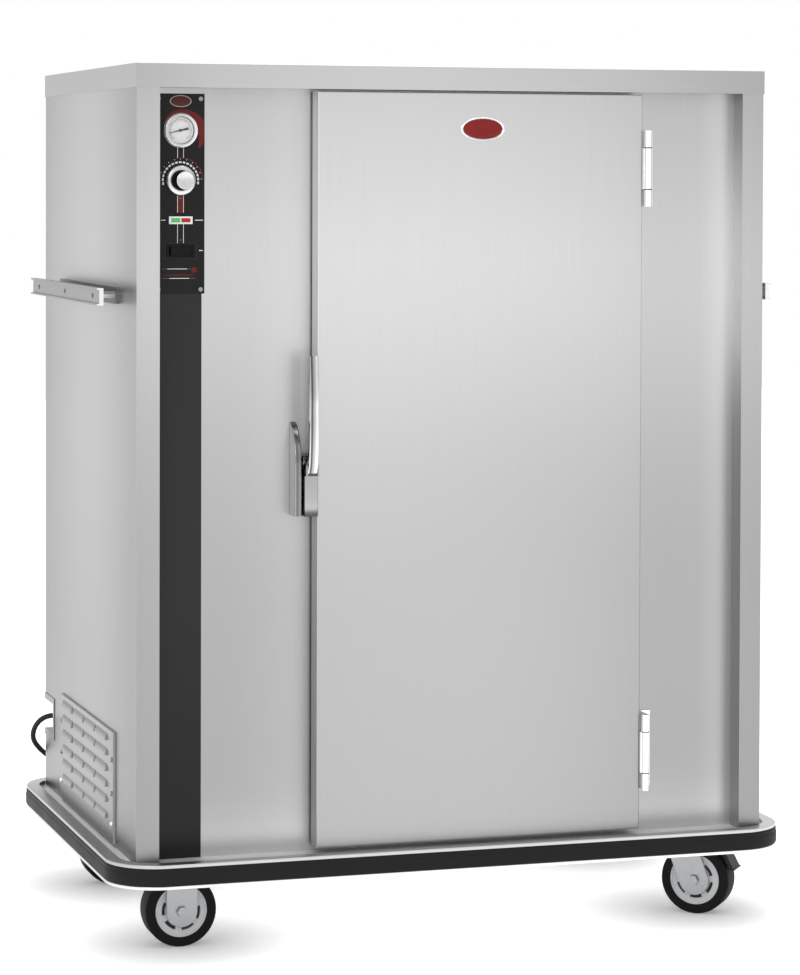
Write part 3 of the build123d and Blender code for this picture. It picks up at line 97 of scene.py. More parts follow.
def combine(tree, operation, *values):
    """One sum done on two values, each a socket or a number."""
    node = tree.nodes.new("ShaderNodeMath")
    node.operation = operation
    for socket, value in zip(node.inputs, values):
        if isinstance(value, bpy.types.NodeSocket):
            tree.links.new(value, socket)
        else:
            socket.default_value = value
    return node.outputs[0]


def two_tones(tree, mask, dark, light):
    """A colour that goes from one tone to another as a mask goes from 0 to 1."""
    tone = tree.nodes.new("ShaderNodeMixRGB")
    tone.inputs["Color1"].default_value = (*dark, 1)
    tone.inputs["Color2"].default_value = (*light, 1)
    tree.links.new(mask, tone.inputs["Fac"])
    return tone.outputs["Color"]


def show_white(tree, other, white, surface):
    """White to the camera, in mirrors and through glass, and the other shader elsewhere."""
    path = tree.nodes.new("ShaderNodeLightPath")
    seen = combine(tree, "MAXIMUM", path.outputs["Is Camera Ray"], path.outputs["Is Glossy Ray"])
    seen = combine(tree, "MAXIMUM", seen, path.outputs["Is Transmission Ray"])
    choice = tree.nodes.new("ShaderNodeMixShader")
    for source, socket in zip((seen, other, white), choice.inputs):
        tree.links.new(source, socket)
    tree.links.new(choice.outputs[0], surface)


floor_mesh = bpy.data.meshes.new("studio_floor")
floor_corners = [(sx * floor_half, sy * floor_half, 0) for sx, sy in ((-1, -1), (1, -1), (1, 1), (-1, 1))]
floor_mesh.from_pydata(floor_corners, [], [(0, 1, 2, 3)])
floor = bpy.data.objects.new("studio_floor", floor_mesh)
bpy.context.scene.collection.objects.link(floor)
floor_paint, tree, floor_shader = new_paint("studio_floor_white")
floor_shader.inputs["Roughness"].default_value = floor_roughness
floor_shader.inputs["Specular IOR Level"].default_value = 0.0
place = object_place(tree)
# Painted shadow: this share falls towards each wheel and darkens the floor's colour and glow.
light_share = 1.0
for joint in frame["joints"]:
    if joint["name"].startswith("roll_"):
        away = tree.nodes.new("ShaderNodeVectorMath")
        away.operation = "DISTANCE"
        away.inputs[1].default_value = (joint["pos_m"][0], joint["pos_m"][1], 0)
        tree.links.new(place, away.inputs[0])
        fall = tree.nodes.new("ShaderNodeMapRange")
        fall.interpolation_type = "SMOOTHSTEP"
        fall.inputs["From Max"].default_value = wheel_shade_reach
        fall.inputs["To Min"].default_value = wheel_shade_level
        tree.links.new(away.outputs["Value"], fall.inputs["Value"])
        light_share = combine(tree, "MULTIPLY", light_share, fall.outputs["Result"])
tree.links.new(two_tones(tree, light_share, floor_shaded, floor_open), floor_shader.inputs["Base Color"])
floor_glow = tree.nodes.new("ShaderNodeEmission")
tree.links.new(combine(tree, "MULTIPLY", light_share, floor_glow_strength), floor_glow.inputs["Strength"])
floor_sum = tree.nodes.new("ShaderNodeAddShader")
tree.links.new(floor_shader.outputs[0], floor_sum.inputs[0])
tree.links.new(floor_glow.outputs[0], floor_sum.inputs[1])
floor_surface = tree.nodes["Material Output"].inputs["Surface"]
show_white(tree, floor_shader.outputs[0], floor_sum.outputs[0], floor_surface)
floor_mesh.materials.append(floor_paint)

# Air and lamps: even soft light from all round, which is white where it is seen, a softbox before
# the cabinet's left front and a wider one above it.
air_light = 0.72
air_seen = 1.0
world = bpy.data.worlds.new("studio_air")
bpy.context.scene.world = world
world.use_nodes = True
tree = world.node_tree
soft_light = tree.nodes["Background"]
seen_air = tree.nodes.new("ShaderNodeBackground")
for air, strength in ((soft_light, air_light), (seen_air, air_seen)):
    air.inputs["Color"].default_value = (1.0, 1.0, 1.0, 1)
    air.inputs["Strength"].default_value = strength
air_surface = tree.nodes["World Output"].inputs["Surface"]
show_white(tree, soft_light.outputs[0], seen_air.outputs[0], air_surface)


def softbox(name, place, target, width, height, watts):
    """A large flat lamp at a place, turned to face a target."""
    data = bpy.data.lights.new(name, "AREA")
    data.shape = "RECTANGLE"
    data.size = width
    data.size_y = height
    data.energy = watts
    lamp = bpy.data.objects.new(name, data)
    bpy.context.scene.collection.objects.link(lamp)
    lamp.location = place
    lamp.rotation_euler = (Vector(target) - Vector(place)).to_track_quat("-Z", "Y").to_euler()


softbox("key_softbox", place=(-3.2, -4.6, 3.4), target=(0, 0, 0.9), width=2.6, height=2.6, watts=55)
softbox("top_softbox", place=(0.6, 0.4, 4.4), target=(0, 0, 1.0), width=4.0, height=3.0, watts=70)

# Power cord: 2.4 m of round black rubber cord. It leaves the rear pocket through a plastic gland,
# runs down behind the cabinet and is wound into a neat flat coil on the floor.
mm = 0.001
cord_radius = 5.25 * mm
cord_exit = (-0.548, 0.366, 0.322)
cord_route = [
    cord_exit,
    (-0.576, 0.366, 0.322),
    (-0.607, 0.384, 0.318),
    (-0.623, 0.405, 0.296),
    (-0.625, 0.422, 0.267),
    (-0.605, 0.436, 0.241),
    (-0.577, 0.451, 0.219),
    (-0.555, 0.470, 0.186),
    (-0.532, 0.486, 0.145),
    (-0.507, 0.493, 0.103),
    (-0.481, 0.496, 0.059),
    (-0.444, 0.497, 0.023),
    (-0.392, 0.498, cord_radius),
    (-0.350, 0.498, cord_radius),
]
coil_start_radius = 73 * mm
coil_pitch = 11.2 * mm
coil_rise = 12 * mm
coil_turns = 5
coil_steps = 12
coil_lead = 20 * mm
coil_middle = coil_turns / 2
coil_last = coil_turns * coil_steps
coil_start = Vector(cord_route[-1]) + Vector((2 * cord_radius, 0, 0))
coil_centre = coil_start + Vector((0, coil_start_radius, 0))
coil_points = []
for n in range(coil_last + 1):
    turns = n / coil_steps
    radius = coil_start_radius - coil_pitch * (coil_middle - abs(turns - coil_middle))
    if 0 < n < coil_last:
        radius /= math.cos(math.pi / coil_steps)
    angle = 2 * math.pi * turns - math.pi / 2
    climb = min(1.0, max(0.0, 2 * (turns - coil_middle) + 0.5))
    lift = coil_rise * climb * climb * (3 - 2 * climb)
    coil_points.append(coil_centre + Vector((radius * math.cos(angle), radius * math.sin(angle), lift)))
coil_end = coil_points[-1] + Vector((coil_lead, 0, 0))
cord_points = [Vector(p) for p in cord_route] + coil_points + [coil_end]
cord_curve = bpy.data.curves.new("power_cord", "CURVE")
cord_curve.dimensions = "3D"
cord_curve.bevel_depth = cord_radius
cord_curve.bevel_resolution = 4
cord_curve.resolution_u = 6
cord_curve.use_fill_caps = True
cord_spline = cord_curve.splines.new("NURBS")
cord_spline.points.add(len(cord_points) - 1)
for point, spot in zip(cord_spline.points, cord_points):
    point.co = (*spot, 1.0)
cord_spline.order_u = 3
cord_spline.use_endpoint_u = True
power_cord = bpy.data.objects.new("power_cord", cord_curve)
bpy.context.scene.collection.objects.link(power_cord)


def tint(colour, factor):
    """A colour made darker or lighter, but no brighter than white."""
    return tuple(min(1, c * factor) for c in colour)


def noise(tree, source, scale, detail):
    """Noise of one grain, as a mask."""
    node = tree.nodes.new("ShaderNodeTexNoise")
    node.inputs["Scale"].default_value = scale
    node.inputs["Detail"].default_value = detail
    tree.links.new(source, node.inputs["Vector"])
    return node.outputs["Fac"]


def spread(tree, mask, low, high):
    """A mask stretched between two values."""
    node = tree.nodes.new("ShaderNodeMapRange")
    node.inputs["To Min"].default_value = low
    node.inputs["To Max"].default_value = high
    tree.links.new(mask, node.inputs["Value"])
    return node.outputs["Result"]


def add_relief(tree, shader, mask, strength, depth):
    """Raises the surface a little where a mask is light."""
    relief = tree.nodes.new("ShaderNodeBump")
    relief.inputs["Strength"].default_value = strength
    relief.inputs["Distance"].default_value = depth
    tree.links.new(mask, relief.inputs["Height"])
    tree.links.new(relief.outputs["Normal"], shader.inputs["Normal"])


def rubber(name, colour, roughness, bump=0.15, grain=900.0, gleam=0.22):
    """Matt rubber, plastic or paint with a fine pebbled skin and faint handling marks."""
    paint, tree, shader = new_paint(name)
    shader.inputs["Specular IOR Level"].default_value = gleam
    place = object_place(tree)
    marks = noise(tree, place, scale=14.0, detail=5.0)
    tone = two_tones(tree, marks, dark=tint(colour, 0.86), light=tint(colour, 1.14))
    tree.links.new(tone, shader.inputs["Base Color"])
    gloss = spread(tree, marks, low=roughness - 0.06, high=roughness + 0.08)
    tree.links.new(gloss, shader.inputs["Roughness"])
    pebbles = noise(tree, place, grain, detail=3.0)
    add_relief(tree, shader, pebbles, bump, depth=0.2 * mm)
    return paint


def paint_node(paint, *nodes):
    """Gives CAD nodes, whose shapes are right as they are, one finish."""
    for node in nodes:
        piece = frame["nodes"][node]
        piece.data.materials.clear()
        piece.data.materials.append(paint)


jacket = rubber("cord_jacket_black", (0.018, 0.018, 0.019), 0.52)
cord_curve.materials.append(jacket)
black_plastic = rubber("black_plastic", (0.007, 0.007, 0.008), 0.35, 0.05, 600.0, 0.16)
paint_node(black_plastic, "cord_gland")

# Plug: black rubber body moulded on the cord, with a ribbed relief that grows towards the body, two
# flat nickel pins and a round earth pin. It lies beside the coil.
relief_length = 34 * mm
relief_start = cord_radius + 0.8 * mm
plug_length = 36 * mm
plug_outline = [(0, 8), (0.5, 12), (6, 15.5), (11, 16.9), (22, 15.7)]
plug_outline += [(33, 16.9), (35.2, 16.3), (36, 14.9), (36, 0)]
rib_count = 5
rib_pitch = 6.4 * mm
rib_wall = cord_radius + 0.9 * mm
rib_growth = 0.38 * mm
rib_outline = [(0.4, 0.0), (4.4, 0.3), (4.8, -0.7), (6.0, -0.7)]
pin_length = 18 * mm
pin_root = 1 * mm
blade_offset = 6.35 * mm
blade_half_thick = 0.75 * mm
blade_half_wide = 3.15 * mm
blade_ease = 0.3 * mm
earth_radius = 2.4 * mm
earth_drop = 11 * mm


def new_piece(name, mesh, paint, body):
    """A mesh in its place in the frame, painted, shaded and riding on its body."""
    piece = bpy.data.objects.new(name, mesh)
    bpy.context.scene.collection.objects.link(piece)
    if not mesh.materials:
        mesh.materials.append(paint)
    for face in mesh.polygons:
        face.use_smooth = True
    mesh.set_sharp_from_angle(angle=math.radians(35))
    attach(piece, body)
    return piece


def finished(name, build):
    """The mesh that has been built."""
    mesh = bpy.data.meshes.new(name)
    build.to_mesh(mesh)
    build.free()
    return mesh


def circle(radius, steps):
    """Points evenly round a circle."""
    angles = [2 * math.pi * n / steps for n in range(steps)]
    return [(radius * math.cos(angle), radius * math.sin(angle)) for angle in angles]


def skin_between(build, low, high, open_steps=()):
    """Faces between two rings of points. A ring of one point closes the skin like a cone."""
    steps = max(len(low), len(high))
    for n in range(steps):
        if n in open_steps:
            continue
        m = (n + 1) % steps
        corners = [low[n % len(low)], low[m % len(low)], high[m % len(high)], high[n % len(high)]]
        corners = list(dict.fromkeys(corners))
        if len(corners) > 2:
            build.faces.new(corners)


def lathe(name, profile, middle, along, steps=48):
    """A turned mesh: profile points are (distance along, radius) about a line through a point."""
    build = bmesh.new()
    turn = Vector((0, 0, 1)).rotation_difference(Vector(along)).to_matrix().to_4x4()
    rings = []
    for height, radius in profile:
        points = circle(radius, steps) if radius > 0 else [(0, 0)]
        rings.append([build.verts.new((x, y, height)) for x, y in points])
    for low, high in zip(rings, rings[1:]):
        skin_between(build, low, high)
    bmesh.ops.recalc_face_normals(build, faces=build.faces)
    build.transform(Matrix.Translation(Vector(middle)) @ turn)
    return finished(name, build)


plug_profile = [(0.0, 0.0), (0.0, relief_start)]
for rib in range(rib_count):
    plug_profile += [
        (rib * rib_pitch + along * mm, rib_wall + rib * rib_growth + out * mm)
        for along, out in rib_outline
    ]
plug_profile += [(relief_length + along * mm, out * mm) for along, out in plug_outline]
plug_mesh = lathe("plug_body", plug_profile, coil_end, (1, 0, 0))
plug_body = new_piece("plug_body", plug_mesh, jacket, "cabinet")


def stretched(tree, place, scale):
    """A place on a piece with its three directions scaled."""
    node = tree.nodes.new("ShaderNodeMapping")
    node.inputs["Scale"].default_value = scale
    tree.links.new(place, node.inputs["Vector"])
    return node.outputs["Vector"]


def bright_metal(name, colour, roughness, grain=260.0, streak=(1.0, 1.0, 1.0)):
    """Polished or satin metal with faint wiping marks that change its gloss a little."""
    paint, tree, shader = new_paint(name)
    shader.inputs["Metallic"].default_value = 1.0
    marks = noise(tree, stretched(tree, object_place(tree), streak), grain, detail=4.0)
    gloss = spread(tree, marks, low=max(0.03, roughness - 0.05), high=roughness + 0.07)
    tree.links.new(gloss, shader.inputs["Roughness"])
    tone = two_tones(tree, marks, dark=tint(colour, 0.93), light=tint(colour, 1.05))
    tree.links.new(tone, shader.inputs["Base Color"])
    return paint


def add_box(build, low, high, bevel):
    """A box between two corners in a mesh being built, with its edges eased."""
    made = bmesh.ops.create_cube(build, size=1.0)["verts"]
    for v in made:
        v.co = Vector([l + (h - l) * (c + 0.5) for l, h, c in zip(low, high, v.co)])
    edges = list({e for v in made for e in v.link_edges})
    bmesh.ops.bevel(build, geom=edges, offset=bevel, segments=2, profile=0.5, affect="EDGES")


nickel = bright_metal("plug_pin_nickel", (0.66, 0.64, 0.58), 0.22)
plug_face = coil_end.x + relief_length + plug_length
build = bmesh.new()
for side in (-1, 1):
    blade_y = coil_end.y + side * blade_offset
    add_box(
        build,
        (plug_face - pin_root, blade_y - blade_half_thick, coil_end.z - blade_half_wide),
        (plug_face + pin_length, blade_y + blade_half_thick, coil_end.z + blade_half_wide),
        blade_ease,
    )
plug_pins = new_piece("plug_pins", finished("plug_pins", build), nickel, "cabinet")
earth_profile = [
    (0, 0),
    (0, earth_radius),
    (pin_length - 2 * mm, earth_radius),
    (pin_length, earth_radius / 2),
    (pin_length, 0),
]
earth_place = (plug_face - 0.2 * mm, coil_end.y, coil_end.z - earth_drop)
earth_mesh = lathe("plug_earth_pin", earth_profile, earth_place, (1, 0, 0), 20)
earth_pin = new_piece("plug_earth_pin", earth_mesh, nickel, "cabinet")
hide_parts("cord_plug")
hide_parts("cord_run", "cord_coil")
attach(power_cord, "cabinet")

# Skins, roof, front frame and face: stainless sheet polished with a belt, so that fine straight
# scratches run up the sheets. Painted reflection and shade change their tone softly over each one,
# and the face, roof and returns are painted lighter and darker than the skins. The frame's two posts
# are folded back to the face, and their returns are painted in shade.
skin_tone = (0.78, 0.78, 0.78)
face_tone = (0.92, 0.92, 0.92)
roof_tone = (0.59, 0.59, 0.59)
return_tone = (0.84, 0.84, 0.84)
skin_roughness = 0.34
squarely = 0.9
post_side_x = 0.559
# Painted reflection and shade: these runs darken each sheet along one axis.
front_stops = [(0.45, 0.55), (0.70, 0.61), (0.90, 0.685), (1.08, 0.83)]
front_stops += [(1.24, 0.94), (1.36, 0.89), (1.50, 0.82), (1.60, 0.75)]
height_shade_run = ("Z", [(0.18, 0.49)] + front_stops)
foot_stops = [(0.175, 0.78), (0.205, 0.75), (0.24, 0.59), (0.30, 0.52)]
face_height_shade_run = ("Z", foot_stops + front_stops)
width_stops = [(-0.60, 0.74), (-0.46, 0.90), (-0.22, 1.0), (0.02, 0.99)]
width_shade_run = ("X", width_stops + [(0.20, 0.94), (0.38, 0.84), (0.60, 0.70)])
face_stops = [(-0.56, 0.73), (-0.46, 0.68), (-0.36, 0.73), (-0.27, 0.84), (0.36, 0.69)]
face_shade_run = ("X", face_stops + [(0.49, 0.67), (0.525, 0.82), (0.545, 1.0), (0.56, 1.0)])
side_stops = [(-0.41, 0.66), (-0.33, 0.70), (-0.22, 0.84), (-0.10, 0.94)]
depth_shade_run = ("Y", side_stops + [(0.02, 0.97), (0.15, 0.92), (0.30, 0.82), (0.41, 0.70)])
side_height_stops = [(0.18, 0.33), (0.50, 0.38), (0.73, 0.46), (0.92, 0.55)]
side_height_shade_run = ("Z", side_height_stops + [(1.10, 0.66), (1.30, 0.75), (1.60, 0.64)])
return_stops = [(0.18, 0.29), (0.75, 0.28), (0.93, 0.28), (1.03, 0.48), (1.12, 0.68)]
return_shade_run = ("Z", return_stops + [(1.30, 0.70), (1.42, 0.46), (1.52, 0.27), (1.6, 0.2)])


def painted_shade_run(tree, place, axis, stops):
    """A soft run of painted shade along one axis: stops are (place in metres, tone)."""
    split = tree.nodes.new("ShaderNodeSeparateXYZ")
    tree.links.new(place, split.inputs[0])
    start, end = stops[0][0], stops[-1][0]
    span = tree.nodes.new("ShaderNodeMapRange")
    span.inputs["From Min"].default_value = start
    span.inputs["From Max"].default_value = end
    tree.links.new(split.outputs["XYZ".index(axis)], span.inputs["Value"])
    run = tree.nodes.new("ShaderNodeValToRGB")
    run.color_ramp.interpolation = "B_SPLINE"
    marks = run.color_ramp.elements
    while len(marks) < len(stops):
        marks.new(0.5)
    for mark, (where, tone) in zip(marks, stops):
        mark.position = (where - start) / (end - start)
        mark.color = (tone, tone, tone, 1)
    tree.links.new(span.outputs["Result"], run.inputs["Fac"])
    return run.outputs["Color"]


def darkened(tree, colour, mask, amount=1.0):
    """A colour multiplied by a mask."""
    fade = tree.nodes.new("ShaderNodeMixRGB")
    fade.blend_type = "MULTIPLY"
    fade.inputs["Fac"].default_value = amount
    tree.links.new(colour, fade.inputs["Color1"])
    tree.links.new(mask, fade.inputs["Color2"])
    return fade.outputs["Color"]


def brushed_sheet(name, colour, roughness, along, deepen=0.10, runs=()):
    """Belt-polished sheet: scratches run along one axis, the tone drifts slowly over it, and runs paint shade
    on it.
    """
    paint, tree, shader = new_paint(name)
    shader.inputs["Metallic"].default_value = 1.0
    place = object_place(tree)
    fine_across, long_way = 900.0, 6.0
    scratch_scale = [fine_across] * 3
    scratch_scale["XYZ".index(along)] = long_way
    scratch = noise(tree, stretched(tree, place, scratch_scale), scale=1.0, detail=2.0)
    drift = noise(tree, place, scale=1.1, detail=1.0)
    shown = two_tones(tree, drift, dark=tint(colour, 1 - deepen), light=tint(colour, 1 + deepen))
    shown = darkened(tree, shown, scratch, amount=0.10)
    # Painted shade: each run darkens the colour along one axis.
    for axis, stops in runs:
        shown = darkened(tree, shown, painted_shade_run(tree, place, axis, stops))
    tree.links.new(shown, shader.inputs["Base Color"])
    gloss = spread(tree, scratch, low=roughness - 0.05, high=roughness + 0.09)
    tree.links.new(gloss, shader.inputs["Roughness"])
    add_relief(tree, shader, scratch, strength=0.12, depth=0.05 * mm)
    return paint


def paint_faces(node, paint, chosen):
    """Gives those faces of a CAD node that a test picks a finish of their own."""
    mesh = frame["nodes"][node].data
    mesh.materials.append(paint)
    for face in mesh.polygons:
        if chosen(face.center, face.normal):
            face.material_index = len(mesh.materials) - 1


def is_return(spot, way):
    """The inner sides of the front frame's posts."""
    return abs(way.x) > squarely and abs(spot.x) < post_side_x


skin_front = brushed_sheet("stainless_front", skin_tone, skin_roughness, "Z", runs=[height_shade_run, width_shade_run])
skin_side = brushed_sheet("stainless_side", skin_tone, skin_roughness, "Z", runs=[side_height_shade_run, depth_shade_run])
skin_face = brushed_sheet("stainless_face", face_tone, skin_roughness, "Z", runs=[face_height_shade_run, face_shade_run])
skin_roof = brushed_sheet("stainless_roof", roof_tone, skin_roughness, "X", runs=[width_shade_run])
skin_return = brushed_sheet("stainless_return", return_tone, 0.30, "Z", runs=[return_shade_run])
paint_node(skin_side, "left_side_panel", "right_side_panel", "back_panel", "cord_pocket")
paint_node(skin_front, "front_frame")
paint_node(skin_face, "face_panel")
paint_node(skin_roof, "top_cap")
paint_faces("front_frame", skin_return, is_return)

# Deck and the rails under it: the deck is folded from plain mill-finish sheet, duller than the
# skins, and the rails are welded from zinc-coated steel.
deck_steel = bright_metal("deck_mill_steel", (0.85, 0.85, 0.86), 0.62, 40.0, (1.0, 8.0, 8.0))
zinc_coat = bright_metal("rail_zinc", (0.40, 0.41, 0.42), 0.48, 60.0)
paint_node(deck_steel, "base_deck")
paint_node(zinc_coat, "base_frame")

# Bumper: an aluminium channel bent round the deck, with a black vinyl strip pressed into it.
# The strip bulges a little past the channel's two lips.
body_half = (600 * mm, 408 * mm)
corner_at_body = 49 * mm
bumper_low = 140 * mm
bumper_top = 184 * mm
bumper_inner = 21 * mm
bumper_lip = 46 * mm
bumper_wall = 3 * mm
vinyl_reach = 48 * mm
vinyl_low = 146 * mm
vinyl_top = 177.4 * mm
vinyl_groove = 0.9 * mm


def bent_ring(name, section, arc_steps=14):
    """A closed section, given as (distance from the body, height), carried round the deck."""
    build = bmesh.new()
    rings = []
    for corner, (sx, sy) in enumerate(((1, -1), (1, 1), (-1, 1), (-1, -1))):
        centre = Vector((sx * (body_half[0] - corner_at_body), sy * (body_half[1] - corner_at_body), 0))
        for n in range(arc_steps + 1):
            angle = math.radians(-90 + 90 * corner + 90 * n / arc_steps)
            way = Vector((math.cos(angle), math.sin(angle), 0))
            rings.append([
                build.verts.new(centre + way * (corner_at_body + u) + Vector((0, 0, z)))
                for u, z in section
            ])
    count = len(section)
    for n, ring in enumerate(rings):
        following = rings[(n + 1) % len(rings)]
        for k in range(count):
            m = (k + 1) % count
            build.faces.new((ring[k], following[k], following[m], ring[m]))
    bmesh.ops.recalc_face_normals(build, faces=build.faces)
    return finished(name, build)


def eased(points, ease, steps=3):
    """An outline with each corner rounded by a small curve."""
    out = []
    count = len(points)
    for n in range(count):
        before, here, after = (Vector(points[(n + k) % count]) for k in (-1, 0, 1))
        first = here + (before - here).normalized() * min(ease, (before - here).length * 0.45)
        last = here + (after - here).normalized() * min(ease, (after - here).length * 0.45)
        for k in range(steps + 1):
            t = k / steps
            out.append(tuple(first * (1 - t) ** 2 + here * (2 * t * (1 - t)) + last * t**2))
    return out


channel_outline = [
    (bumper_inner, bumper_low),
    (bumper_lip, bumper_low),
    (bumper_lip, vinyl_low),
    (bumper_lip - bumper_wall, vinyl_low),
    (bumper_lip - bumper_wall, bumper_low + bumper_wall),
    (bumper_inner + bumper_wall, bumper_low + bumper_wall),
    (bumper_inner + bumper_wall, bumper_top - bumper_wall),
    (bumper_lip - bumper_wall, bumper_top - bumper_wall),
    (bumper_lip - bumper_wall, vinyl_top),
    (bumper_lip, vinyl_top),
    (bumper_lip, bumper_top),
    (bumper_inner, bumper_top),
]
# Painted shade on the channel: darker up its face above the lower lip, and darker along the left side.
lip_shade_run = ("Z", [(0.139, 1.0), (0.146, 1.0), (0.149, 0.69), (0.176, 0.56), (0.180, 0.62), (0.184, 0.66)])
lip_side_shade_run = ("X", [(-0.648, 0.50), (-0.640, 0.86), (-0.60, 0.90), (-0.54, 1.0), (0.65, 1.0)])
lip_shade_runs = [lip_shade_run, lip_side_shade_run]
channel_metal = brushed_sheet("bumper_channel_satin", (0.86, 0.86, 0.87), 0.30, "X", 0.05, lip_shade_runs)
channel_mesh = bent_ring("bumper_channel_bent", eased(channel_outline, 1.4 * mm))
channel = new_piece("bumper_channel_bent", channel_mesh, channel_metal, "cabinet")
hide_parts("bumper_channel")
vinyl_root = bumper_lip - 3 * bumper_wall
vinyl_neck = bumper_lip - 1.1 * bumper_wall
vinyl_edge = bumper_lip + 0.2 * mm
vinyl_outline = [
    (vinyl_root, bumper_low + 1.1 * bumper_wall),
    (vinyl_neck, bumper_low + 1.1 * bumper_wall),
    (vinyl_neck, vinyl_low + 0.1 * mm),
    (vinyl_edge, vinyl_low + 0.1 * mm),
    (vinyl_reach, vinyl_low + 3 * mm),
    (vinyl_reach, vinyl_top - 10 * mm),
    (vinyl_reach - vinyl_groove, vinyl_top - 8.6 * mm),
    (vinyl_reach - vinyl_groove, vinyl_top - 2.4 * mm),
    (vinyl_edge, vinyl_top - 0.1 * mm),
    (vinyl_neck, vinyl_top - 0.1 * mm),
    (vinyl_neck, bumper_top - 1.1 * bumper_wall),
    (vinyl_root, bumper_top - 1.1 * bumper_wall),
]
vinyl = rubber("bumper_vinyl_black", (0.013, 0.013, 0.014), 0.55, 0.1, 500.0, 0.14)
strip_mesh = bent_ring("bumper_vinyl_strip", eased(vinyl_outline, 1.0 * mm))
strip = new_piece("bumper_vinyl_strip", strip_mesh, vinyl, "cabinet")
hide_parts("bumper_insert")

# Wheels: black rubber tread moulded on a pale grey rim with six curved slots.
# Each turns on a bolt through its fork.
wheel_radius = 66 * mm
tyre_inner_radius = 48 * mm
tyre_bead_radius = 52 * mm
tyre_shoulder = 5 * mm
tread_half = 25.5 * mm
rim_outline = [
    (48.5, 1.6),
    (47.6, 0.8),
    (44.6, 0.8),
    (43.6, 2.2),
    (36.0, 2.6),
    (29.5, 2.6),
    (18.0, 2.2),
    (15.5, 1.2),
    (14.6, 0.0),
    (6.1, 0.0),
]
rim_steps = 72
slot_pitch = 12
slot_steps = 8
slot_rows = (4, 5)
slot_depth = 8 * mm
first_slot = 25
rolled = {"wheel_front_left": -8, "wheel_back_left": 20, "wheel_front_right": 34, "wheel_back_right": 0}


def rim_side(build, sign):
    """One face of the rim: raised edge, sunk web with six curved slots, and the middle boss."""
    rows = []
    for radius, sunk in rim_outline:
        height = sign * (tread_half - sunk * mm)
        rows.append([build.verts.new((x, y, height)) for x, y in circle(radius * mm, rim_steps)])
    outer, inner = slot_rows
    slots = [range(start + 1, start + 1 + slot_steps) for start in range(0, rim_steps, slot_pitch)]
    for k, (wide, narrow) in enumerate(zip(rows, rows[1:])):
        skin_between(build, wide, narrow, [n for slot in slots for n in slot] if k == outer else ())
    for slot in slots:
        ends = (slot[0], slot[-1] + 1)
        deep = {}
        for k in slot_rows:
            for n in range(ends[0], ends[1] + 1):
                x, y, _ = rows[k][n].co
                deep[k, n] = build.verts.new((x, y, sign * (tread_half - slot_depth)))
        for n in slot:
            floor_face = (deep[outer, n], deep[outer, n + 1], deep[inner, n + 1], deep[inner, n])
            build.faces.new(floor_face).material_index = 1
            for k in slot_rows:
                build.faces.new((rows[k][n], rows[k][n + 1], deep[k, n + 1], deep[k, n]))
        for n in ends:
            build.faces.new((rows[outer][n], rows[inner][n], deep[inner, n], deep[outer, n]))


tread_rubber = rubber("tyre_rubber_black", (0.011, 0.011, 0.012), 0.6, 0.2, 300.0, 0.1)
rim_grey = rubber("wheel_rim_grey", (0.72, 0.73, 0.74), 0.40, 0.05, 200.0)
# Painted shade: the floors of the rim's slots are painted near black.
slot_painted_shade = rubber("wheel_slot_shade", (0.05, 0.05, 0.05), 0.7, 0.05, 200.0)
axles = {joint["name"]: joint for joint in frame["joints"]}
tyre_profile = [
    (-tread_half, tyre_inner_radius),
    (-tread_half, tyre_bead_radius),
    (-tread_half, wheel_radius - tyre_shoulder),
]
tyre_profile += [
    (
        -tread_half + tyre_shoulder * (1 - math.cos(angle)),
        wheel_radius - tyre_shoulder + tyre_shoulder * math.sin(angle),
    )
    for angle in (0.3, 0.6, 0.9, 1.25, math.pi / 2)
]
tyre_profile += [(-height, radius) for height, radius in reversed(tyre_profile)]
tyre_profile.append(tyre_profile[0])
for node, roll in rolled.items():
    axle = axles[node.replace("wheel", "roll")]
    spin, hub_place = Vector(axle["axis"]).normalized(), Vector(axle["pos_m"])
    tyre_mesh = lathe(node + "_tyre", tyre_profile, hub_place, spin, 96)
    tyre = new_piece(node + "_tyre", tyre_mesh, tread_rubber, node + "_body")
    build = bmesh.new()
    for sign in (-1, 1):
        rim_side(build, sign)
    bmesh.ops.recalc_face_normals(build, faces=build.faces)
    heading = math.atan2(spin.x, -spin.y)
    build.transform(Matrix.Rotation(math.radians(roll - first_slot) + heading, 4, "Z"))
    upright = Vector((0, 0, 1)).rotation_difference(spin).to_matrix().to_4x4()
    build.transform(Matrix.Translation(hub_place) @ upright)
    rim_mesh = finished(node + "_rim", build)
    rim_mesh.materials.append(rim_grey)
    rim_mesh.materials.append(slot_painted_shade)
    new_piece(node + "_rim", rim_mesh, rim_grey, node + "_body")
    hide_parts(node)

# Caster forks and plates: pressed steel, zinc plated, bolted up under the deck. The brake pedals
# are painted black for the shade they sit in, with a bare plated tip.
axle_zinc = bright_metal("caster_zinc", (0.33, 0.335, 0.34), 0.28, 150.0)
pedal_painted_shade = rubber("brake_pedal_black", (0.012, 0.012, 0.012), 0.45)
pedal_tip_z = 0.09
pedal_tip = bright_metal("brake_pedal_tip", (0.62, 0.62, 0.63), 0.3)


def is_pedal_tip(spot, way):
    """The underside of a brake pedal's end."""
    return way.z < -squarely and spot.z < pedal_tip_z


paint_node(axle_zinc, "rigid_forks", "swivel_plates", "swivel_fork_front", "swivel_fork_back")
for node in ("brake_pedal_front", "brake_pedal_back"):
    paint_node(pedal_painted_shade, node)
    paint_faces(node, pedal_tip, is_pedal_tip)

# Door: brushed outer skin with its scratches upright and an inner skin, folded over a board of
# yellow insulation, with a black rubber gasket round the inner face.
foam = rubber("insulation_board_yellow", (0.55, 0.46, 0.18), 0.9, 0.5, 200.0)
gasket_black = rubber("gasket_black", (0.02, 0.02, 0.02), 0.6)
# The door's skins take the front's painted reflection and shade.
paint_node(skin_front, "door_outer_skin", "door_inner_skin")
paint_node(foam, "door_insulation", "insulation")
paint_node(gasket_black, "door_gasket")

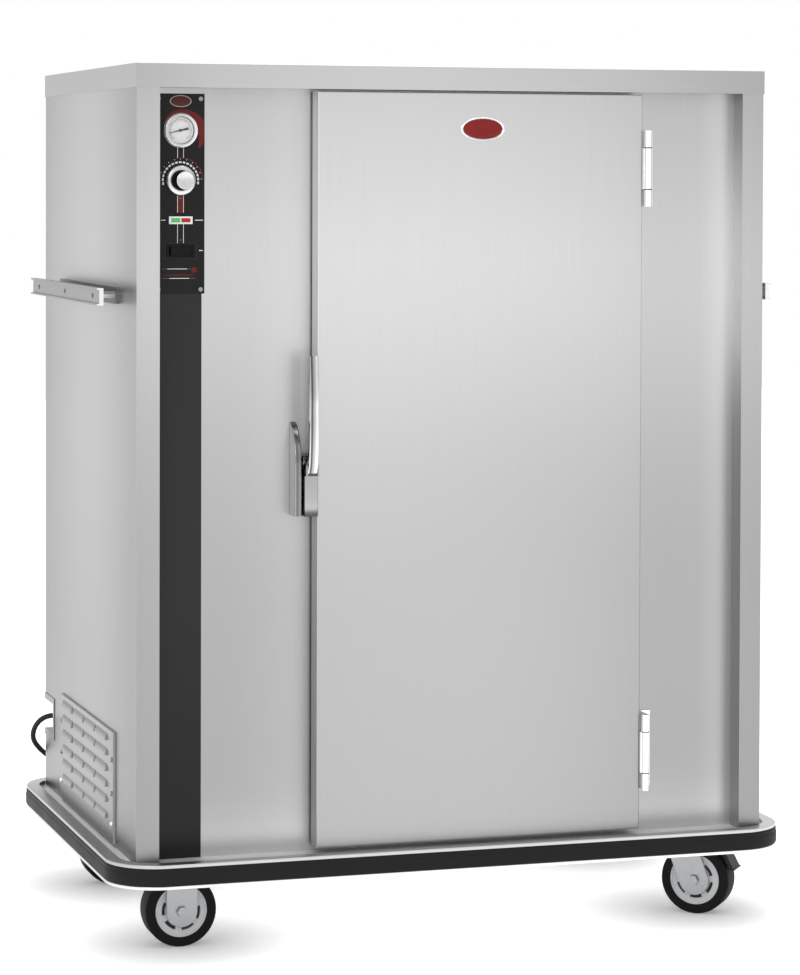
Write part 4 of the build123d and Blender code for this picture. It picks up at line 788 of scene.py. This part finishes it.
# Badge: a domed oval plate of red enamel in a bright chromed rim, pinned to the door near its top.
# It is left plain.
badge_low, badge_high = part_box("door_badge")
badge_middle = (badge_low + badge_high) / 2
badge_half = (badge_high - badge_low) / 2
badge_rim_rows = [(1.0, 0.0), (1.0, 1.2), (0.97, 1.9), (0.92, 1.5), (0.9, 0.8)]
badge_field_rows = [(1.0, 0.7), (0.96, 1.4), (0.7, 1.8), (0.3, 1.95)]
badge_field_half = (badge_half.x * 0.91, badge_half.z * 0.88)


def oval_plate(name, middle, half_x, half_z, y, rows):
    """An upright oval dish: rows are (share of the half sizes, how far it stands out in mm)."""
    build = bmesh.new()
    rings = []
    for share, proud in rows:
        rings.append([
            build.verts.new((middle.x + half_x * u, y - proud * mm, middle.z + half_z * v))
            for u, v in circle(share, 72)
        ])
    for low, high in zip(rings, rings[1:]):
        skin_between(build, low, high)
    build.faces.new(rings[-1])
    bmesh.ops.recalc_face_normals(build, faces=build.faces)
    return finished(name, build)


chrome = bright_metal("chrome_polished", (0.80, 0.80, 0.81), 0.10, 90.0)
rim_mesh = oval_plate("badge_rim", badge_middle, badge_half.x, badge_half.z, badge_high.y, badge_rim_rows)
badge_rim = new_piece("badge_rim", rim_mesh, chrome, "door")
badge_red, tree, shader = new_paint("badge_red_enamel")
shader.inputs["Roughness"].default_value = 0.35
shader.inputs["Specular IOR Level"].default_value = 0.2
shader.inputs["Coat Weight"].default_value = 0.12
cloud = noise(tree, object_place(tree), 60.0, 2.0)
enamel = two_tones(tree, cloud, (0.20, 0.010, 0.009), (0.29, 0.015, 0.012))
tree.links.new(enamel, shader.inputs["Base Color"])
field_mesh = oval_plate("badge_field", badge_middle, *badge_field_half, badge_high.y, badge_field_rows)
new_piece("badge_field", field_mesh, badge_red, "door")
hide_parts("door_badge")

# Hinges: two cast and chromed hinges screwed to the frame and the door. Dark lines show where the
# three knuckles of each one meet on its pin.
hinge_place = (366.5 * mm, -413 * mm)
leaf_front_y = -0.413
hinge_heights = {"lower": 331.5, "upper": 1416.5}
knuckle_half = 38.5
knuckle_profile = [(-1 * mm, 7.2 * mm), (-1 * mm, 7.6 * mm), (1 * mm, 7.6 * mm), (1 * mm, 7.2 * mm)]
# Painted highlight: the hinges' chrome is painted brighter than the other chrome, and the leaves' left edges
# are painted pale to lift their shade.
hinge_chrome_highlit = bright_metal("hinge_chrome_highlit", (0.97, 0.97, 0.97), 0.20, 90.0)
hinge_side_lightened = rubber("hinge_side_painted_light", (0.92, 0.92, 0.92), 0.5, 0.05, 400.0)
knuckle_shade = rubber("hinge_knuckle_shade", (0.06, 0.06, 0.06), 0.5)


def is_leaf_side(spot, way):
    """The left edge of a hinge leaf."""
    return way.x < -0.7 and spot.y > leaf_front_y


for node in ("hinge_frame_leaves", "hinge_door_leaves"):
    paint_node(hinge_chrome_highlit, node)
    paint_faces(node, hinge_side_lightened, is_leaf_side)
for name, height in hinge_heights.items():
    for end, sign in (("low", -1), ("high", 1)):
        ring_name = f"hinge_{name}_ring_{end}"
        ring_place = (*hinge_place, (height + sign * knuckle_half) * mm)
        ring_mesh = lathe(ring_name, knuckle_profile, ring_place, (0, 0, 1), 32)
        new_piece(ring_name, ring_mesh, knuckle_shade, "cabinet")

# Latch: a chromed lever pivots in a cast body on the door's edge and pulls against a strike on the
# frame. Painted reflections run in stripes across the lever and the strike, painted shade and highlight
# run up the body, and the three parts' chrome is painted lighter and darker.
lever_stops = [(-0.2890, 0.95), (-0.2868, 0.90), (-0.2852, 0.04), (-0.2834, 0.08)]
lever_reflection_run = ("X", lever_stops + [(-0.2812, 0.48), (-0.2776, 0.56), (-0.2755, 1.0), (-0.2716, 0.95)])
body_stops = [(0.789, 0.16), (0.797, 0.24), (0.803, 1.0), (0.816, 0.8)]
body_shade_run = ("Z", body_stops + [(0.870, 0.74), (0.882, 0.60), (0.890, 0.2), (0.897, 0.2)])
strike_stops = [(-0.3085, 1.0), (-0.3068, 0.6), (-0.3050, 0.2)]
strike_reflection_run = ("X", strike_stops + [(-0.3010, 0.34), (-0.2985, 0.5), (-0.2945, 0.3)])
lever_chrome = brushed_sheet("latch_lever_chrome", (0.85, 0.85, 0.86), 0.14, "Z", 0.05, [lever_reflection_run])
body_chrome = brushed_sheet("latch_body_chrome", (0.48, 0.48, 0.49), 0.16, "Z", 0.05, [body_shade_run])
strike_chrome = brushed_sheet("latch_strike_chrome", (0.60, 0.60, 0.61), 0.16, "Z", 0.05, [strike_reflection_run])
paint_node(lever_chrome, "latch_lever")
paint_node(body_chrome, "latch_body")
paint_node(strike_chrome, "latch_strike")

# Cover screws: steel heads on the panel and on the vent cover. The vent's lower ones are painted
# bright, a painted highlight, and its upper ones are painted in the side skin's shaded tone.
screw_steel = bright_metal("screw_steel", (0.30, 0.30, 0.30), 0.25, 200.0)
vent_screw_x = -0.6
vent_screw_split = 0.24


def is_low_vent_screw(spot, way):
    """The lower screws of the vent cover."""
    return spot.x < vent_screw_x and spot.z < vent_screw_split


def is_high_vent_screw(spot, way):
    """The upper screws of the vent cover."""
    return spot.x < vent_screw_x and spot.z >= vent_screw_split


paint_node(screw_steel, "cover_screws")
paint_faces("cover_screws", hinge_chrome_highlit, is_low_vent_screw)
paint_faces("cover_screws", skin_side, is_high_vent_screw)

# Control column: a black painted steel cover, with painted shade darkening it towards its foot,
# screwed over the left of the face, with a black lacquered panel above it.
column_shade_run = ("Z", [(0.18, 0.1), (0.29, 0.2), (0.41, 0.5), (0.52, 0.7), (0.63, 0.87), (0.75, 1.0)])
column_paint = rubber("column_black_paint", (0.018, 0.018, 0.019), 0.36, 0.12, 500.0, 0.26)
tree = column_paint.node_tree
column_colour = tree.nodes["Principled BSDF"].inputs["Base Color"]
painted = column_colour.links[0].from_socket
foot_shade = painted_shade_run(tree, object_place(tree), *column_shade_run)
tree.links.new(darkened(tree, painted, foot_shade), column_colour)
panel_paint = rubber("panel_black_lacquer", (0.010, 0.010, 0.011), 0.33, 0.05, 700.0, 0.18)
paint_node(column_paint, "control_cover")
paint_node(panel_paint, "control_panel")

# Rocker switch: glossy black moulded plastic, snapped into the panel.
# A bezel of the same plastic goes round it.
gloss_black = rubber("switch_gloss_black", (0.004, 0.004, 0.004), 0.14, 0.02, 600.0, 0.16)
paint_node(gloss_black, "switch_bezel", "switch_rocker")

# Lamps: a green and a red plastic lens with eased edges, side by side in a white plastic frame
# that is clipped into the panel.
dial_x = -511 * mm
panel_face = -368 * mm
lamp_z = 1321.2 * mm
lens_offset = 9.3 * mm
lens_half = (8.2 * mm, 3.7 * mm)
lens_proud = 2.4 * mm
lens_depth = 9 * mm
lens_ease = 0.6 * mm
lamp_frame_white = rubber("lamp_frame_white", (1.0, 1.0, 0.99), 0.35, 0.05, 600.0)
lamp_green = rubber("lamp_green", (0.10, 0.62, 0.16), 0.2, 0.02, 600.0)
lamp_red = rubber("lamp_red", (0.50, 0.035, 0.02), 0.2, 0.02, 600.0)
paint_node(lamp_frame_white, "indicator_frame")
for name, sign, paint in (("lamp_lens_green", -1, lamp_green), ("lamp_lens_red", 1, lamp_red)):
    build = bmesh.new()
    middle = dial_x + sign * lens_offset
    add_box(
        build,
        (middle - lens_half[0], panel_face - lens_proud, lamp_z - lens_half[1]),
        (middle + lens_half[0], panel_face + lens_depth, lamp_z + lens_half[1]),
        lens_ease,
    )
    new_piece(name, finished(name, build), paint, "cabinet")
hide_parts("indicator_lenses")

# Thermostat knob: a bright skirt, a black plastic grip and a spun aluminium cap. It turns on the
# shaft of the plastic thermostat body behind the panel.
knob_height = 1392.4
knob_place = (dial_x, panel_face - 1.5 * mm, knob_height * mm)
skirt_profile = [(0.5, 11.2), (0.0, 26.2), (0.4, 26.8), (3.4, 26.9), (5.0, 26.0)]
skirt_profile += [(6.4, 23.6), (6.9, 21.5), (6.9, 18.6), (6.0, 18.2)]
grip_profile = [(5.6, 19.4), (7.0, 18.3), (9.0, 17.9), (30.0, 17.2), (36.4, 16.9), (37.2, 16.4), (37.2, 15.0)]
cap_profile = [(36.6, 16.2), (37.8, 16.1), (38.3, 15.5), (38.4, 14.6), (38.1, 13.9), (38.1, 0.0)]
knob_metal = bright_metal("knob_spun_aluminium", (0.62, 0.62, 0.63), 0.22, 200.0)
grip_black = rubber("knob_grip_black", (0.004, 0.004, 0.004), 0.6, 0.05, 600.0, 0.03)
paint_node(black_plastic, "thermostat_body")
for name, profile, paint in (
    ("knob_skirt", skirt_profile, knob_metal),
    ("knob_grip", grip_profile, grip_black),
    ("knob_cap", cap_profile, knob_metal),
):
    profile = [(height * mm, radius * mm) for height, radius in profile]
    knob_mesh = lathe(name, profile, knob_place, (0, -1, 0), 72)
    new_piece(name, knob_mesh, paint, "knob")
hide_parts("thermostat_knob")

# Printing on the panel: thin white, grey and red marks round the dials, screen-printed as flat ink
# on the lacquer. The oval plate above them is left plain.
dial_height = 1481.5
ink_lift = 0.12 * mm
panel_edge = 43
twin_lines = [(1432, 1452), (1335, 1369), (1280.5, 1315)]
lamp_dashes = [(-35.6, 1320.6, -27.6, 1322), (26.6, 1320.6, 41, 1322)]
switch_dash = (34.1, 1266.3, 41, 1267.8)
foot_lines = [(-24, 1233.8, 12, 1234.9), (-20, 1216.9, 16, 1218)]
foot_line_ends = [(-34, 1233.8, -24, 1234.9), (12, 1233.8, 20, 1234.9)]
foot_line_ends += [(-34, 1216.9, -20, 1218), (16, 1216.9, 28, 1218)]
switch_outline = [(-29, 1252.6, 29, 1253.3), (-29, 1279.6, 29, 1280.3)]
switch_outline += [(-29, 1252.6, -28.3, 1280.3), (28.3, 1252.6, 29, 1280.3)]
red_bars = [(-4.6, 1335, 4.6, 1369), (20.4, 1227.6, 29.6, 1236.6), (-30, 1222.6, 24, 1224.4)]
dots = [(1360.5, 1.9), (1286, 1.5)]
thermometer_arc = [(168, 31, 32.5), (150, 31, 34.6), (130, 31, 36.2), (110, 31, 37.0), (90, 31, 37.5)]
thermometer_arc += [(70, 31, 39.0), (50, 32, 41.6), (35, 32, 44), (20, 32, 45.8), (8, 32, 46)]
thermometer_arc += [(-8, 33, 46), (-20, 35.5, 46), (-32, 39, 47), (-42, 43, 48)]
knob_arc = [(86, 39.6, 40.6), (70, 39.8, 41.6), (50, 40, 42.4)]
knob_arc += [(30, 40.2, 42.6), (12, 40.6, 42.4), (-4, 41, 41.8)]
oval_place = Vector((dial_x, panel_face, 1533.6 * mm))
oval_rim_half = (20 * mm, 10.6 * mm)
oval_field_half = (18.2 * mm, 9.2 * mm)


def ink(name, paint, bars=(), bands=(), face=panel_face):
    """Flat ink, in mm: bars are (left, low, right, high), bands are rows of (angle, inner, outer)."""
    build = bmesh.new()
    y = face - ink_lift
    for left, low, right, high in bars:
        corners = [(left, low), (right, low), (right, high), (left, high)]
        build.faces.new([build.verts.new((dial_x + u * mm, y, v * mm)) for u, v in corners])
    for height, rows in bands:
        for (a, inner_a, outer_a), (b, inner_b, outer_b) in zip(rows, rows[1:]):
            corners = []
            for turn, radius in ((a, inner_a), (a, outer_a), (b, outer_b), (b, inner_b)):
                u = min(radius * math.cos(math.radians(turn)), panel_edge)
                v = height + radius * math.sin(math.radians(turn))
                corners.append(build.verts.new((dial_x + u * mm, y, v * mm)))
            build.faces.new(corners)
    bmesh.ops.recalc_face_normals(build, faces=build.faces)
    return new_piece(name, finished(name, build), paint, "cabinet")


def ring_dash(middle, spread, inner, outer, steps=3):
    """One short dash of a ring, about an angle."""
    return [(middle - spread / 2 + spread * n / steps, inner, outer) for n in range(steps + 1)]


def screen_ink(name, colour, roughness=0.45):
    """Printing ink with a fine grain, a little duller than the lacquer."""
    return rubber(name, colour, roughness, 0.02, 700.0)


white_ink = screen_ink("ink_white", (0.85, 0.85, 0.84))
grey_ink = screen_ink("ink_grey", (0.10, 0.10, 0.10))
faint_ink = screen_ink("ink_faint", (0.028, 0.028, 0.028))
rim_ink = screen_ink("ink_oval_rim", (0.42, 0.40, 0.38))
red_ink = screen_ink("ink_red", (0.14, 0.013, 0.010), 0.40)
dot_ink = screen_ink("ink_dull_dot", (0.24, 0.14, 0.13))
oval_ink = screen_ink("ink_oval_red", (0.085, 0.018, 0.014), 0.40)
knob_dashes = [ring_dash(-8 + 12.4 * n, spread=8.4, inner=30.8, outer=34.0) for n in range(17)]
knob_dashes += [ring_dash(4 + 17.2 * n, spread=2.2, inner=37.6, outer=38.8) for n in range(11)]
knob_scale = [(knob_height, dash) for dash in knob_dashes]
line_half = 0.5
white_bars = [(u - line_half, low, u + line_half, high) for low, high in twin_lines for u in (-5.4, 5.4)]
white_bars += [*lamp_dashes, switch_dash, *foot_lines]
dot_bands = [(height, [(turn, 0.01, radius) for turn in range(0, 361, 30)]) for height, radius in dots]
ink("panel_ink_white", white_ink, white_bars, knob_scale)
ink("panel_ink_dots", dot_ink, (), dot_bands, panel_face - ink_lift)
ink("panel_ink_faint", faint_ink, switch_outline)
ink("panel_ink_grey", grey_ink, foot_line_ends)
ink("panel_ink_red", red_ink, red_bars, [(dial_height, thermometer_arc), (knob_height, knob_arc)])
for name, half, rows, paint in (
    ("panel_oval_rim", oval_rim_half, [(1.0, 0.1), (0.99, 0.4), (0.9, 0.4)], rim_ink),
    ("panel_oval_field", oval_field_half, [(1.0, 0.4), (0.97, 0.55)], oval_ink),
):
    new_piece(name, oval_plate(name, oval_place, *half, panel_face, rows), paint, "cabinet")

# Thermometer: a chromed case with a thin flange on the panel, a white dial printed with a fine ring
# of ticks, longer ones at every fourth, and a clear lens over them.
dial_face = -366 * mm
thermometer_place = Vector((dial_x, panel_face, dial_height * mm))
flange_profile = [(0, 30.4), (0, 31.7), (0.9, 31.9), (1.8, 31.7), (2.6, 31.3), (3.6, 31.1), (3.8, 30.4)]
flange_profile = [(height * mm, radius * mm) for height, radius in flange_profile]
# Painted reflection on the case and flange: darker to the left, brightest at the right.
case_reflection_run = ("X", [(-0.542, 0.75), (-0.530, 0.62), (-0.511, 0.66), (-0.492, 0.85), (-0.480, 1.0)])
case_chrome = brushed_sheet("thermometer_case_chrome", (0.88, 0.88, 0.89), 0.16, "Z", 0.05, [case_reflection_run])
dial_white = rubber("dial_white", (1.0, 1.0, 0.99), 0.5, 0.02, 600.0)
dial_ink_and_shade = rubber("dial_ink_black", (0.05, 0.05, 0.05), 0.5, 0.02, 700.0)
lens_glass, tree, shader = new_paint("thermometer_lens_clear")
shader.inputs["Base Color"].default_value = (1.0, 1.0, 1.0, 1)
shader.inputs["Roughness"].default_value = 0.03
shader.inputs["Alpha"].default_value = 0.06
paint_node(case_chrome, "thermometer_case")
paint_node(dial_white, "thermometer_face")
paint_node(lens_glass, "thermometer_lens")
flange_mesh = lathe("thermometer_flange", flange_profile, thermometer_place, (0, -1, 0), 72)
new_piece("thermometer_flange", flange_mesh, case_chrome, "cabinet")
first_tick, tick_step = -50, 7
short_tick, long_tick, tick_outer = 17.4, 16.2, 19.6
marks = []
for n in range(41):
    inner = short_tick if n % 4 else long_tick
    marks.append(ring_dash(first_tick + tick_step * n, 1.6, inner, tick_outer, steps=1))
marks.append([(first_tick + 20 * n, 20.4, 20.8) for n in range(15)])
# Painted shade: a dark ring round the dial's edge, where the case shades it.
marks.append([(15 * n, 23.9, 24.8) for n in range(25)])
ink("dial_ticks_and_shade_ring", dial_ink_and_shade, (), [(dial_height, rows) for rows in marks], dial_face)

# Thermometer needle: thin black sheet on a small hub, with a fine point and a broad short tail.
# It is pressed on the shaft in the middle of the dial.
needle_angle = math.radians(103)
needle_way = Vector((-math.sin(needle_angle), 0, math.cos(needle_angle)))
needle_across = Vector((-needle_way.z, 0, needle_way.x))
needle_low, needle_high = -366.8 * mm, -367.4 * mm
needle_stations = [(21.0, 0.35), (6.0, 1.0), (2.6, 1.25), (2.0, 2.4), (-2.0, 2.4)]
needle_stations += [(-2.6, 1.25), (-9.0, 1.7), (-14.6, 2.3), (-15.2, 2.0)]
build = bmesh.new()
needle_rows = []
for along, half in needle_stations:
    row = []
    for side, y in ((1, needle_low), (1, needle_high), (-1, needle_high), (-1, needle_low)):
        spot = Vector((dial_x, y, thermometer_place.z)) + needle_way * along * mm
        row.append(build.verts.new(spot + needle_across * side * half * mm))
    needle_rows.append(row)
for near, far in zip(needle_rows, needle_rows[1:]):
    skin_between(build, near, far)
build.faces.new(needle_rows[0])
build.faces.new(needle_rows[-1])
bmesh.ops.recalc_face_normals(build, faces=build.faces)
needle = new_piece("needle_sheet", finished("needle_sheet", build), black_plastic, "needle")
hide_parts("thermometer_needle")

# Inside: satin stainless liner, racks, duct and pan, nickel-plated wire shelves and heater sheath,
# and a zinc-coated fan and motor.
liner_steel = brushed_sheet("stainless_liner", (0.5, 0.5, 0.5), 0.4, "X")
paint_node(liner_steel, "inner_liner", "shelf_supports", "air_duct", "water_pan")
paint_node(nickel, "shelf_lower", "shelf_upper", "heater_element")
paint_node(zinc_coat, "fan_wheel", "fan_motor")

# Push handles: anodised aluminium bars, sawn square at the ends, screwed on posts, with a backing
# rail against each side. The left rail is painted dark for the shade of its bar, and the right
# handle's forward faces are painted bright, a painted highlight.
handle_z = 1184 * mm
handle_face = 649.5 * mm
bar_outside_x = 0.63
rail_outside_x = 0.612
screw_places = [-268, -21, 226]
screw_profile = [(-1 * mm, 4.6 * mm), (0.5 * mm, 4.6 * mm), (1.3 * mm, 3.4 * mm), (1.5 * mm, 0.0)]
handle_metal = bright_metal("handle_satin_aluminium", (0.31, 0.31, 0.315), 0.36, 60.0, (1.0, 0.1, 1.0))
sawn_end_and_highlight = bright_metal("handle_sawn_end_and_highlight", (0.80, 0.80, 0.81), 0.3, 60.0)
rail_painted_shade = bright_metal("handle_rail_shade", (0.17, 0.17, 0.175), 0.36, 60.0, (1.0, 0.1, 1.0))
screw_dark = bright_metal("handle_screw_dark", (0.16, 0.16, 0.16), 0.4, 100.0)


def is_sawn_end_or_highlight(spot, way):
    """The ends of both bars, and all that faces forward on the right handle, painted as a highlight."""
    sawn = abs(way.y) > squarely and abs(spot.x) > bar_outside_x
    return sawn or (spot.x > 0 and way.y < -0.5)


def is_left_rail(spot, way):
    """The left handle's backing rail, painted dark for the shade of its bar."""
    return -rail_outside_x < spot.x < 0


paint_node(handle_metal, "push_handles")
paint_faces("push_handles", sawn_end_and_highlight, is_sawn_end_or_highlight)
paint_faces("push_handles", rail_painted_shade, is_left_rail)
for side, sign in (("left", -1), ("right", 1)):
    for n, y in enumerate(screw_places):
        name = f"handle_screw_{side}_{n}"
        screw_mesh = lathe(name, screw_profile, (sign * handle_face, y * mm, handle_z), (sign, 0, 0), 24)
        new_piece(name, screw_mesh, screw_dark, "cabinet")

# Vent cover: the louvred cover of the heater compartment, pressed from stainless sheet and screwed
# on the left side. It takes the side skin's painted shade, and its pressed edges are painted a plain
# matt grey, a little duller than the sheet, as painted shade in the louvres.
vent_edge = rubber("vent_pressed_edge", (0.46, 0.46, 0.46), 0.6, 0.05, 400.0)


def is_pressed_edge(spot, way):
    """Faces that turn away from the side."""
    return abs(way.x) < 0.5


paint_node(skin_side, "vent_cover")
paint_faces("vent_cover", vent_edge, is_pressed_edge)
